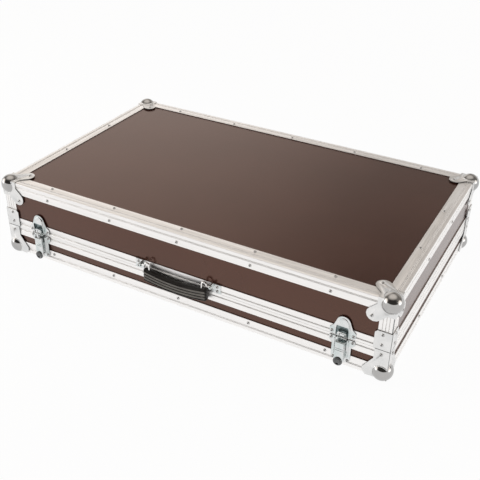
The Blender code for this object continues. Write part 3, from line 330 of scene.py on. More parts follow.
@dataclass(frozen=True)
class DrawnAluminium:
    """Clear-anodised extrusion: a drawn grain along it, soft clouds in its sheen."""

    run: Run
    colour: Colour = (0.965, 0.945, 0.930)
    streak: Colour = (0.90, 0.88, 0.865)
    sheen: tuple[float, float] = (0.30, 0.39)

    def material(self) -> bpy.types.Material:
        """Build the finish."""
        material, shader, tree = new_material("drawn_aluminium_" + self.run.name.lower())
        lines = noise(tree, object_space(tree, self.run.value), 900.0, 3.0, 0.6)
        clouds = noise(tree, object_space(tree), 11.0, 4.0)
        tree.links.new(blend_colours(tree, lines, ((0.30, self.streak), (0.62, self.colour))),
                       shader.inputs["Base Color"])
        grain = remap(tree, lines, (0.3, 0.7), (0.0, 0.08))
        tree.links.new(calculate(tree, "ADD", grain, remap(tree, clouds, (0.3, 0.7), self.sheen)),
                       shader.inputs["Roughness"])
        shader.inputs["Metallic"].default_value = 1.0
        relief(tree, shader, lines, 0.000008)
        return material


@dataclass(frozen=True)
class WornMetal:
    """Plain metal with a cloudy colour and sheen, for plates, balls and rivets, and for the painted shade in grooves,
    on rims and in the keeper's hood.
    """

    name: str
    colour: Colour
    cast: Colour
    sheen: tuple[float, float]
    cloud: float = 42.0
    grit: float = 0.000006
    metallic: float = 1.0

    def material(self) -> bpy.types.Material:
        """Build the finish."""
        material, shader, tree = new_material(self.name)
        where = object_space(tree)
        tree.links.new(blend_colours(tree, noise(tree, where, self.cloud, 2.0), ((0.36, self.cast), (0.60, self.colour))),
                       shader.inputs["Base Color"])
        tree.links.new(remap(tree, noise(tree, where, 260.0, 4.0, 0.65), (0.3, 0.7), self.sheen),
                       shader.inputs["Roughness"])
        shader.inputs["Metallic"].default_value = self.metallic
        relief(tree, shader, noise(tree, where, 700.0, 2.0), self.grit)
        return material


@dataclass(frozen=True)
class GripRubber:
    """Black-brown moulded grip with a fine pebble, smoother where hands have rubbed it; in pale colours it also serves
    as the painted highlight of the grip's crests.
    """

    colour: Colour = (0.010, 0.0085, 0.0072)
    rubbed: Colour = (0.018, 0.0152, 0.013)
    sheen: tuple[float, float] = (0.36, 0.50)
    name: str = "grip_rubber"
    specular: float = 0.30

    def material(self) -> bpy.types.Material:
        """Build the finish."""
        material, shader, tree = new_material(self.name)
        where = object_space(tree)
        rub = noise(tree, object_space(tree, (0.3, 1.0, 1.0)), 90.0, 3.0)
        tree.links.new(blend_colours(tree, rub, ((0.35, self.colour), (0.7, self.rubbed))), shader.inputs["Base Color"])
        tree.links.new(remap(tree, rub, (0.3, 0.7), self.sheen), shader.inputs["Roughness"])
        shader.inputs["Specular IOR Level"].default_value = self.specular
        relief(tree, shader, noise(tree, where, 1500.0, 2.0), 0.000025)
        return material


@dataclass(frozen=True)
class LiningFoam:
    """Charcoal open-cell foam: dark cells between paler struts."""

    strut: Colour = (0.040, 0.040, 0.044)
    cell: Colour = (0.012, 0.012, 0.014)

    def material(self) -> bpy.types.Material:
        """Build the finish."""
        material, shader, tree = new_material("lining_foam")
        where = object_space(tree)
        cells = noise(tree, where, 900.0, 2.0)
        tree.links.new(blend_colours(tree, cells, ((0.38, self.cell), (0.62, self.strut))), shader.inputs["Base Color"])
        tree.links.new(remap(tree, noise(tree, where, 25.0), (0.3, 0.7), (0.88, 0.98)), shader.inputs["Roughness"])
        shader.inputs["Specular IOR Level"].default_value = 0.2
        relief(tree, shader, cells, 0.0004)
        return material


def darken_grooves(shape: bmesh.types.BMesh) -> None:
    """Paint shade on the slanted flanks of an extrusion's pressed lines: they take its second, darker finish.

    Args:
        shape: The extrusion.
    """
    flat_share = 0.9
    shape.normal_update()
    for face in shape.faces:
        if max(abs(part) for part in face.normal) < flat_share:
            face.material_index = 1


def darken_rims(shape: bmesh.types.BMesh) -> None:
    """Paint shade on the sheared rims of a plate: they take its second, dark finish.

    Args:
        shape: The plate.
    """
    thinnest, square_share = 0.0010, 0.35
    shape.normal_update()
    for face in shape.faces:
        for axis in range(3):
            reaches = [SIZES.standing_out(vert.co)[axis] for vert in face.verts]
            through = min(reaches) > 0 and max(reaches) < SIZES.corner_plate + SIZES.seat_gap
            if through and max(reaches) - min(reaches) > thinnest and abs(face.normal[axis]) < square_share:
                face.material_index = 1


@dataclass
class Finishes:
    """Every finish on the case, made once."""

    laminate: bpy.types.Material = field(default_factory=lambda: Laminate().material())
    drawn: dict[Run, bpy.types.Material] = field(
        default_factory=lambda: {run: DrawnAluminium(run).material() for run in Run})
    # painted shade: this darker, less metallic aluminium on the grooves' flanks stands in for the shade inside the
    # pressed lines
    groove: bpy.types.Material = field(default_factory=lambda: WornMetal(
        "groove_floor", (0.84, 0.82, 0.805), (0.74, 0.725, 0.71), (0.45, 0.55), metallic=0.45).material())
    plate: bpy.types.Material = field(default_factory=lambda: WornMetal(
        "corner_plate", (0.82, 0.81, 0.80), (0.73, 0.73, 0.725), (0.28, 0.39), 30.0).material())
    zinc: bpy.types.Material = field(default_factory=lambda: WornMetal(
        "zinc_plate", (0.76, 0.765, 0.762), (0.63, 0.685, 0.680), (0.17, 0.28), 46.0).material())
    # painted shade: this near-black finish on plate rims, lips and folds stands in for the shade along their edges
    rim: bpy.types.Material = field(default_factory=lambda: WornMetal(
        "sheared_rim", (0.33, 0.33, 0.325), (0.24, 0.245, 0.245), (0.34, 0.46), 90.0).material())
    # painted shade: this dark teal finish inside the keeper's hood and on the sheet behind its window stands in for the
    # hood's shade
    cavity: bpy.types.Material = field(default_factory=lambda: WornMetal(
        "hood_inside", (0.27, 0.32, 0.32), (0.18, 0.225, 0.23), (0.30, 0.42), 120.0).material())
    ball: bpy.types.Material = field(default_factory=lambda: WornMetal(
        "polished_ball", (0.47, 0.46, 0.45), (0.41, 0.405, 0.40), (0.05, 0.10), 25.0, 0.000003).material())
    # painted reflection: the thumb cup's near-black colour stands in for the dark room that its polished dish reflects
    cup: bpy.types.Material = field(default_factory=lambda: WornMetal(
        "thumb_cup", (0.15, 0.15, 0.148), (0.12, 0.122, 0.122), (0.06, 0.12), 60.0, 0.000003).material())
    chrome: bpy.types.Material = field(default_factory=lambda: WornMetal(
        "bail_chrome", (0.88, 0.86, 0.84), (0.84, 0.83, 0.82), (0.05, 0.11), 60.0, 0.000002).material())
    rivet: bpy.types.Material = field(default_factory=lambda: WornMetal(
        "rivet_head", (0.60, 0.585, 0.575), (0.48, 0.475, 0.47), (0.24, 0.38), 300.0).material())
    # partly painted shade: the sunk stem's near-black is partly its own darker steel and partly painted shade of the
    # hole it sits in
    mandrel: bpy.types.Material = field(default_factory=lambda: WornMetal(
        "rivet_mandrel", (0.16, 0.155, 0.15), (0.09, 0.088, 0.085), (0.35, 0.50), 500.0).material())
    grip: bpy.types.Material = field(default_factory=lambda: GripRubber().material())
    # painted highlight: the crests' pale colour stands in for the light that the ribs' tops catch; their glossier sheen
    # is from hands rubbing them
    crest: bpy.types.Material = field(default_factory=lambda: GripRubber(
        (0.105, 0.096, 0.084), (0.155, 0.143, 0.126), (0.26, 0.38), "grip_crest", 0.5).material())
    foam: bpy.types.Material = field(default_factory=lambda: LiningFoam().material())


@dataclass
class SubAssembly:
    """Pieces that belong together, with what every sub-assembly does."""

    finishes: Finishes

    def add(self, name: str, mesh: bpy.types.Mesh, materials: Sequence[bpy.types.Material], body: str, slot: str,
            stands_for: Optional[str] = None) -> bpy.types.Object:
        """Add a piece and hang it on its body.

        Args:
            name: The piece's name.
            mesh: Its mesh, in the world's frame.
            materials: Its finishes.
            body: The body that it rides on.
            slot: The record's slot of its finish; not used.
            stands_for: The CAD node it replaces, if any.

        Returns:
            The piece.
        """
        mesh.name = name
        for material in materials:
            mesh.materials.append(material)
        piece = bpy.data.objects.new(name, mesh)
        bpy.context.scene.collection.objects.link(piece)
        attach(piece, body)
        if stands_for:
            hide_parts(stands_for)
        LOG.info("%s: %d faces on %s", name, len(mesh.polygons), body)
        return piece

    def add_shape(self, name: str, shape: bmesh.types.BMesh, materials: Sequence[bpy.types.Material], body: Body,
                  slot: str, smooth_angle: float = 35.0) -> bpy.types.Object:
        """Finish a bmesh, outward and smooth, and add it.

        Args:
            name: The piece's name.
            shape: The bmesh, which is freed.
            materials: Its finishes.
            body: The body that it rides on.
            slot: The record's slot of its finish.
            smooth_angle: Edges sharper than this stay sharp, in degrees.

        Returns:
            The piece.
        """
        bmesh.ops.recalc_face_normals(shape, faces=shape.faces[:])
        mesh = bpy.data.meshes.new(name)
        shape.to_mesh(mesh)
        shape.free()
        mesh.shade_smooth()
        mesh.set_sharp_from_angle(angle=math.radians(smooth_angle))
        return self.add(name, mesh, materials, body.value, slot)

    def finish_node(self, node: str, materials: Sequence[bpy.types.Material], slot: str, edge: float = 0.00025,
                    smooth_angle: float = 32.0, reshape: Optional[Callable[[bmesh.types.BMesh], None]] = None,
                    ) -> bpy.types.Object:
        """Replace a CAD node by a welded copy of it, shaded smooth, its edges broken.

        Args:
            node: The CAD node.
            materials: The copy's finishes.
            slot: The record's slot of its finish.
            edge: Width of the broken edges, or 0 for none.
            smooth_angle: Edges sharper than this stay sharp, in degrees.
            reshape: Changes the welded bmesh before it is finished.

        Returns:
            The copy.
        """
        source = frame["nodes"][node]
        mesh = source.data.copy()
        mesh.materials.clear()
        shape = bmesh.new()
        shape.from_mesh(mesh)
        bmesh.ops.remove_doubles(shape, verts=shape.verts[:], dist=0.00002)
        bmesh.ops.dissolve_limit(shape, angle_limit=math.radians(0.4), verts=shape.verts[:], edges=shape.edges[:])
        for face in shape.faces:
            face.material_index = 0
        if reshape:
            reshape(shape)
        shape.to_mesh(mesh)
        shape.free()
        mesh.shade_smooth()
        mesh.set_sharp_from_angle(angle=math.radians(smooth_angle))
        piece = self.add(node + "_finished", mesh, materials, source["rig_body"], slot, node)
        if edge:
            bevel = piece.modifiers.new("broken_edges", "BEVEL")
            bevel.width = edge
            bevel.segments = 2
            bevel.limit_method = "ANGLE"
            bevel.angle_limit = math.radians(40.0)
        return piece


@dataclass
class Shell(SubAssembly):
    """Laminated panels in drawn aluminium."""

    def build(self) -> None:
        """Give every panel its film, and every extrusion its grain and painted shade on the flanks of its grooves."""
        for node, item in frame["nodes"].items():
            if node.endswith("_panel"):
                item.data.materials.clear()
                item.data.materials.append(self.finishes.laminate)
                LOG.info("%s: laminate", node)
            elif "edge_" in node or "closing_" in node:
                # the second finish is painted shade on the grooves' flanks
                runs = (self.finishes.drawn[Run.ALONG_X], self.finishes.groove, self.finishes.drawn[Run.ALONG_Y])
                self.finish_node(node, runs, "brushed_aluminium", reshape=self.follow_sides)

    @staticmethod
    def follow_sides(shape: bmesh.types.BMesh) -> None:
        """Turn the grain to run along each side of the case, and paint shade on the grooves' flanks.

        Args:
            shape: An extrusion along one side, or a frame of four.
        """
        darken_grooves(shape)
        for face in shape.faces:
            middle = face.calc_center_median()
            from_end = SIZES.width / 2 - abs(middle.x)
            from_face = SIZES.depth / 2 - abs(middle.y - SIZES.middle_y)
            flat = abs(face.normal.z) > 0.5
            if face.material_index == 0 and (from_end < from_face if flat else abs(face.normal.x) > 0.5):
                face.material_index = 2


@dataclass
class Rivets(SubAssembly):
    """Blind rivets: a domed flange with the snapped stem sunk in its middle."""

    profile: tuple[tuple[float, float], ...] = (
        (0.0, -0.0003), (0.00375, -0.0003), (0.00375, 0.0004), (0.0033, 0.0012), (0.0027, 0.0018), (0.0020, 0.0021),
        (0.0016, 0.00205), (0.00145, 0.0016), (0.0014, 0.00145), (0.0006, 0.0016), (0.0, 0.00165),
    )
    stem_radius: float = 0.00142
    sides: int = 20

    def template(self) -> bpy.types.Mesh:
        """One rivet standing on z = 0."""
        shape = bmesh.new()
        line = [shape.verts.new((radius, 0, height)) for radius, height in self.profile]
        edges = [shape.edges.new(pair) for pair in zip(line, line[1:])]
        bmesh.ops.spin(shape, geom=[*line, *edges], cent=(0, 0, 0), axis=(0, 0, 1), angle=math.tau, steps=self.sides,
                       use_merge=True, use_duplicate=False)
        bmesh.ops.remove_doubles(shape, verts=shape.verts[:], dist=0.000001)
        # the sunk stem faces take the near-black finish, partly painted shade of the hole
        for face in shape.faces:
            middle = face.calc_center_median()
            if math.hypot(middle.x, middle.y) < self.stem_radius and middle.z > 0:
                face.material_index = 1
        bmesh.ops.recalc_face_normals(shape, faces=shape.faces[:])
        mesh = bpy.data.meshes.new("rivet")
        shape.to_mesh(mesh)
        shape.free()
        return mesh

    def row(self, name: str, places: Sequence[Matrix], body: Body, slot: str) -> None:
        """Add one piece with a rivet at every place.

        Args:
            name: The piece's name.
            places: Frames whose z points out of the riveted surface.
            body: The body that carries it.
            slot: The record's slot of its finish.
        """
        one = self.template()
        shape = bmesh.new()
        for index, place in enumerate(places):
            copy = one.copy()
            copy.transform(place @ Matrix.Rotation(index * 1.3, 4, "Z"))
            shape.from_mesh(copy)
        self.add_shape(name, shape, (self.finishes.rivet, self.finishes.mandrel), body, slot, 50.0)


@dataclass
class EdgeRivets(Rivets):
    """Rivets along the edge angles."""

    pitch: float = 0.180
    line: float = 0.0215
    counts: dict[Side, int] = field(default_factory=lambda: {
        Side.FRONT: 5, Side.RIGHT: 2, Side.BACK: 5, Side.LEFT: 2})

    def build(self) -> None:
        """Add the lid's and the base's rows."""
        for body, rise, way in ((Body.LID, SIZES.height, 1), (Body.BASE, 0.0, -1)):
            places = []
            for side, count in self.counts.items():
                for index in range(count):
                    along = (index - (count - 1) / 2) * self.pitch
                    places.append(SIZES.face(side, along, 0.0, rise - way * self.line))
                    lie = Matrix.Rotation(-way * math.pi / 2, 4, "X")
                    places.append(SIZES.face(side, along, -self.line, rise) @ lie)
            self.row(body.value + "_edge_rivets", places, body, "brushed_aluminium")


@dataclass
class CornerFittings(Rivets):
    """Ball corners with their riveted plates, and the lid's corner braces."""

    ball_radius: float = 0.0228
    ball_inset: float = 0.0123
    ball_shrink: float = 0.0008
    bead_radius: float = 0.0013
    bead_sides: int = 12
    bead_steps: int = 30
    lobe_rivet: float = 0.0455
    foot_rivet: tuple[float, float] = (0.016, 0.06005)
    brace_rivet: float = 0.018
    brace_height: float = 0.045
    brace_shares: tuple[float, float] = (0.28, 0.83)
    bend: float = 0.0012
    fold_reach: float = 0.0020
    lip: float = 0.0007
    bead_trim: float = 0.16

    def build(self) -> None:
        """Add every corner's plates, ball, bead, braces and rivets."""
        for body, top in ((Body.LID, True), (Body.BASE, False)):
            places = []
            for corner in Corner:
                place = SIZES.corner(corner, top)
                self.plates(body, corner, place)
                self.ball(body, corner, place)
                self.bead(body, corner, place)
                side_rivet = (self.lobe_rivet, self.lobe_rivet) if top else self.foot_rivet
                places += self.corner_rivets(place, side_rivet)
                if top:
                    self.upright(corner)
                    self.brace(corner)
                    places += self.brace_rivets(SIZES.corner(corner, False))
            self.row(body.value + "_corner_rivets", places, body, "zinc_plate")

    def fold(self, shape: bmesh.types.BMesh, corner: Corner, reach: float) -> None:
        """Round the upright outer edge of a folded piece and give the rounding the dark finish of painted shade.

        Args:
            shape: The piece.
            corner: The upright corner.
            reach: How far the piece's faces stand out from the case's.
        """
        line = SIZES.corner(corner, False) @ Vector((-reach, -reach, 0))
        edges = [edge for edge in shape.edges
                 if all((vert.co.xy - line.xy).length < 0.0001 for vert in edge.verts)]
        # painted shade: the rounded bend takes the dark second finish
        bmesh.ops.bevel(shape, geom=edges, offset=self.bend, segments=3, profile=0.5, affect="EDGES", material=1)

    def lips(self, shape: bmesh.types.BMesh) -> None:
        """Round the outer edge of a plate at the parting line, and give the rounding the dark finish of painted shade.

        Args:
            shape: The plate.
        """
        parting = SIZES.stand + SIZES.base_height
        close = SIZES.seat_gap
        edges = [edge for edge in shape.edges
                 if all(abs(vert.co.z - parting) < close
                        and max(SIZES.standing_out(vert.co).xy) > SIZES.corner_plate - close for vert in edge.verts)]
        # painted shade: the rounded lip takes the dark second finish
        bmesh.ops.bevel(shape, geom=edges, offset=self.lip, segments=2, profile=0.5, affect="EDGES", material=1)

    def upright(self, corner: Corner) -> None:
        """Copy one of the lid's upright angles, with painted shade as a dark line along its fold and on its grooves'
        flanks.

        Args:
            corner: The upright corner.
        """
        def reshape(shape: bmesh.types.BMesh) -> None:
            """Paint shade on the grooves' flanks and along the fold."""
            darken_grooves(shape)
            line = SIZES.corner(corner, False).translation
            # painted shade: faces close along the fold take the dark rim finish
            for face in shape.faces:
                if all((vert.co.xy - line.xy).length < self.fold_reach for vert in face.verts):
                    face.material_index = 2

        self.finish_node("lid_upright_angle_" + corner.label,
                         (self.finishes.drawn[Run.ALONG_Z], self.finishes.groove, self.finishes.rim),
                         "brushed_aluminium", reshape=reshape)

    def brace(self, corner: Corner) -> None:
        """Copy a lid brace with its fold rounded, and painted shade on its rims, lip and fold.

        Args:
            corner: The upright corner.
        """
        def reshape(shape: bmesh.types.BMesh) -> None:
            """Paint shade on the rims, and round the lip and the fold, which take the painted shade too."""
            darken_rims(shape)
            self.lips(shape)
            self.fold(shape, corner, SIZES.corner_plate)

        self.finish_node("lid_corner_brace_" + corner.label, (self.finishes.plate, self.finishes.rim), "zinc_plate",
                         reshape=reshape)

    def plates(self, body: Body, corner: Corner, place: Matrix) -> None:
        """Copy the corner's plates, with the CAD's ball drawn in so that the round one covers it.

        Args:
            body: The lid or the base.
            corner: The upright corner.
            place: The corner's frame.
        """
        centre = place @ Vector((self.ball_inset,) * 3)

        def draw_in(shape: bmesh.types.BMesh) -> None:
            """Pull the ball's own vertices towards its middle, and paint shade on the plates' rims and, on the base, on
            the lip and fold.
            """
            darken_rims(shape)
            if body is Body.BASE:
                self.lips(shape)
                self.fold(shape, corner, SIZES.corner_plate)
            for vert in shape.verts:
                out = vert.co - centre
                if abs(out.length - self.ball_radius) < 0.0002:
                    vert.co = centre + out * (1 - self.ball_shrink / self.ball_radius)

        self.finish_node(f"{body.value}_ball_corner_{corner.label}", (self.finishes.plate, self.finishes.rim),
                         "chrome_ball", edge=0.0, reshape=draw_in)

    def ball(self, body: Body, corner: Corner, place: Matrix) -> None:
        """Add the polished ball, cut open where the case's corner fills it.

        Args:
            body: The lid or the base.
            corner: The upright corner.
            place: The corner's frame.
        """
        shape = bmesh.new()
        bmesh.ops.create_uvsphere(shape, u_segments=56, v_segments=28, radius=self.ball_radius,
                                  matrix=Matrix.Translation((self.ball_inset,) * 3))
        for vert in shape.verts:
            nearest = min(range(3), key=lambda axis: vert.co[axis])
            vert.co[nearest] = min(vert.co[nearest], -SIZES.seat_gap * 1.5)
        shape.transform(place)
        self.add_shape(f"{body.value}_ball_{corner.label}", shape, (self.finishes.ball,), body, "chrome_ball", 180.0)

    def bead(self, body: Body, corner: Corner, place: Matrix) -> None:
        """Add the rolled crease where the ball grows out of the three plates.

        Args:
            body: The lid or the base.
            corner: The upright corner.
            place: The corner's frame.
        """
        depth = self.ball_inset + SIZES.corner_plate
        ring = math.sqrt(self.ball_radius ** 2 - depth ** 2) + self.bead_radius * 0.2
        limit = math.acos(-depth / ring) - self.bead_trim
        centre = Vector((self.ball_inset, self.ball_inset, -SIZES.corner_plate + self.bead_radius * 0.35))
        start = math.pi / 2 - limit
        shape = bmesh.new()
        for turn in range(3):
            part = bmesh.new()
            out = Vector((math.cos(start), math.sin(start), 0))
            along = Vector((-math.sin(start), math.cos(start), 0))
            upright = Matrix((out, (0, 0, 1), along)).transposed().to_4x4()
            bmesh.ops.create_circle(part, cap_ends=False, segments=self.bead_sides, radius=self.bead_radius,
                                    matrix=Matrix.Translation(centre + out * ring) @ upright)
            bmesh.ops.spin(part, geom=part.verts[:] + part.edges[:], cent=centre, axis=(0, 0, 1),
                           angle=limit * 2 - math.pi / 2, steps=self.bead_steps, use_merge=False, use_duplicate=False)
            bmesh.ops.holes_fill(part, edges=[edge for edge in part.edges if edge.is_boundary], sides=0)
            part.transform(place @ Matrix.Rotation(turn * math.tau / 3, 4, Vector((1, 1, 1))))
            mesh = bpy.data.meshes.new("bead")
            part.to_mesh(mesh)
            part.free()
            shape.from_mesh(mesh)
        self.add_shape(f"{body.value}_ball_crease_{corner.label}", shape, (self.finishes.plate,), body,
                       "chrome_ball", 60.0)

    def corner_rivets(self, place: Matrix, side: tuple[float, float]) -> list[Matrix]:
        """Frames of a ball corner's three rivets.

        Args:
            place: The corner's frame.
            side: Where the rivet of each side plate sits, along it and up it.

        Returns:
            The frames.
        """
        depth = -SIZES.corner_plate
        spots = (
            ((self.lobe_rivet, self.lobe_rivet, depth), (0, 0, -1)),
            ((side[0], depth, side[1]), (0, -1, 0)),
            ((depth, side[0], side[1]), (-1, 0, 0)),
        )
        return [self.standing(place, spot, out) for spot, out in spots]

    def brace_rivets(self, place: Matrix) -> list[Matrix]:
        """Frames of a brace's four rivets.

        Args:
            place: The frame of the corner's foot.

        Returns:
            The frames.
        """
        depth = -SIZES.corner_plate
        frames = []
        for share in self.brace_shares:
            rise = SIZES.base_height + self.brace_height * share
            frames.append(self.standing(place, (self.brace_rivet, depth, rise), (0, -1, 0)))
            frames.append(self.standing(place, (depth, self.brace_rivet, rise), (-1, 0, 0)))
        return frames

    @staticmethod
    def standing(place: Matrix, spot: Sequence[float], out: Sequence[float]) -> Matrix:
        """Frame in the world that stands on a spot of a corner's frame.

        Args:
            place: The corner's frame, which may be mirrored.
            spot: The point in that frame.
            out: The way out of the surface in that frame.

        Returns:
            An unmirrored frame whose z points out.
        """
        aim = place.to_3x3() @ Vector(out)
        return Matrix.Translation(place @ Vector(spot)) @ aim.to_track_quat("Z", "Y").to_matrix().to_4x4()


@dataclass
class Latches(Rivets):
    """The two turn latches: plates, slider, hook, spindle and wing, with the wing's thumb cup."""

    centre: float = 0.395
    keeper_rivets: tuple[tuple[float, float], ...] = ((-0.0235, 0.0090), (0.0235, 0.0090))
    plate_rivets: tuple[tuple[float, float], ...] = (
        (-0.0235, -0.0075), (0.0235, -0.0075), (-0.0160, -0.0560), (0.0160, -0.0560))
    cup_drop: float = 0.0540
    cup_reach: float = 0.0143
    cup_profile: tuple[tuple[float, float], ...] = (
        (0.0, 0.0002), (0.0028, 0.0003), (0.0042, 0.0006), (0.0054, 0.0012), (0.0064, 0.0019), (0.0074, 0.0026),
        (0.0081, 0.0030), (0.0088, 0.0031), (0.0094, 0.0028), (0.0099, 0.0020), (0.0099, 0.0), (0.0, -0.0003),
    )
    hood_centre: tuple[float, float] = (0.0030, 0.0140)
    hood_half: float = 0.0156
    window_rise: float = 0.0150
    window_radius: float = 0.0118
    # thickness of the window's painted shade sheet
    window_floor: float = 0.0004

    def build(self) -> None:
        """Finish the CAD's parts and add the rivets and thumb cups."""
        for hand, end in (("left", -1), ("right", 1)):
            label = f"latch_{hand}_"
            across = end * self.centre
            for part in ("base_plate", "slider", "hook", "spindle", "wing"):
                # painted shade: the base plate's rims take the dark second finish
                self.finish_node(label + part, (self.finishes.zinc, self.finishes.rim), "zinc_plate", 0.0002,
                                 reshape=darken_rims if part == "base_plate" else None)
            self.keeper(label + "keeper", across)
            self.row(label + "keeper_rivets", self.places(across, self.keeper_rivets), Body.LID, "zinc_plate")
            self.row(label + "plate_rivets", self.places(across, self.plate_rivets), Body.BASE, "zinc_plate")
            self.cup(hand, across)
            # painted shade: a dark sheet behind the keeper's window
            self.window(hand, across)

    @staticmethod
    def places(across: float, spots: Sequence[tuple[float, float]]) -> list[Matrix]:
        """Frames of rivets on the front, given from a latch's middle and the parting line."""
        return [SIZES.face(Side.FRONT, across + along, SIZES.latch_plate, SIZES.base_height + rise)
                for along, rise in spots]

    def keeper(self, node: str, across: float) -> None:
        """Copy a keeper with the hollow of its hood in a dark finish that is painted shade.

        Args:
            node: The CAD node.
            across: The latch's x.
        """
        reach, rise = self.hood_centre
        centre = SIZES.face(Side.FRONT, across, reach, SIZES.base_height + rise).translation

        def shade(shape: bmesh.types.BMesh) -> None:
            """Paint shade on the rims and on the faces that look into the hood."""
            darken_rims(shape)
            for face in shape.faces:
                out = face.calc_center_median() - centre
                inside = all(abs(vert.co.x - centre.x) < self.hood_half for vert in face.verts)
                if inside and out.dot(face.normal) < 0:
                    face.material_index = 2

        self.finish_node(node, (self.finishes.zinc, self.finishes.rim, self.finishes.cavity), "zinc_plate", 0.0002,
                         reshape=shade)

    def cup(self, hand: str, across: float) -> None:
        """Add the dished thumb cup on the wing's round foot, near-black as a painted dark reflection.

        Args:
            hand: left or right.
            across: The latch's x.
        """
        shape = bmesh.new()
        line = [shape.verts.new((radius, 0, height)) for radius, height in self.cup_profile]
        edges = [shape.edges.new(pair) for pair in zip(line, line[1:])]
        bmesh.ops.spin(shape, geom=[*line, *edges], cent=(0, 0, 0), axis=(0, 0, 1), angle=math.tau, steps=40,
                       use_merge=True, use_duplicate=False)
        bmesh.ops.remove_doubles(shape, verts=shape.verts[:], dist=0.000001)
        shape.transform(SIZES.face(Side.FRONT, across, self.cup_reach, SIZES.base_height - self.cup_drop))
        bmesh.ops.recalc_face_normals(shape, faces=shape.faces[:])
        mesh = bpy.data.meshes.new("cup")
        shape.to_mesh(mesh)
        shape.free()
        mesh.shade_smooth()
        mesh.set_sharp_from_angle(angle=math.radians(60.0))
        self.add(f"latch_{hand}_thumb_cup", mesh, (self.finishes.cup,), "wing_" + hand, "zinc_plate")

    def window(self, hand: str, across: float) -> None:
        """Add a dark sheet that closes the keeper's window from behind: painted shade for the hollow under the hood.

        Args:
            hand: left or right.
            across: The latch's x.
        """
        shape = bmesh.new()
        bmesh.ops.create_circle(shape, cap_ends=True, segments=48, radius=self.window_radius)
        bmesh.ops.bisect_plane(shape, geom=shape.verts[:] + shape.edges[:] + shape.faces[:], plane_co=(0, 0.0002, 0),
                               plane_no=(0, -1, 0), clear_outer=True)
        pushed = bmesh.ops.extrude_face_region(shape, geom=shape.faces[:])["geom"]
        bmesh.ops.translate(shape, verts=[item for item in pushed if isinstance(item, bmesh.types.BMVert)],
                            vec=(0, 0, self.window_floor))
        shape.transform(SIZES.face(Side.FRONT, across, SIZES.seat_gap, SIZES.base_height + self.window_rise))
        self.add_shape(f"latch_{hand}_window_floor", shape, (self.finishes.cavity,), Body.LID, "zinc_plate")


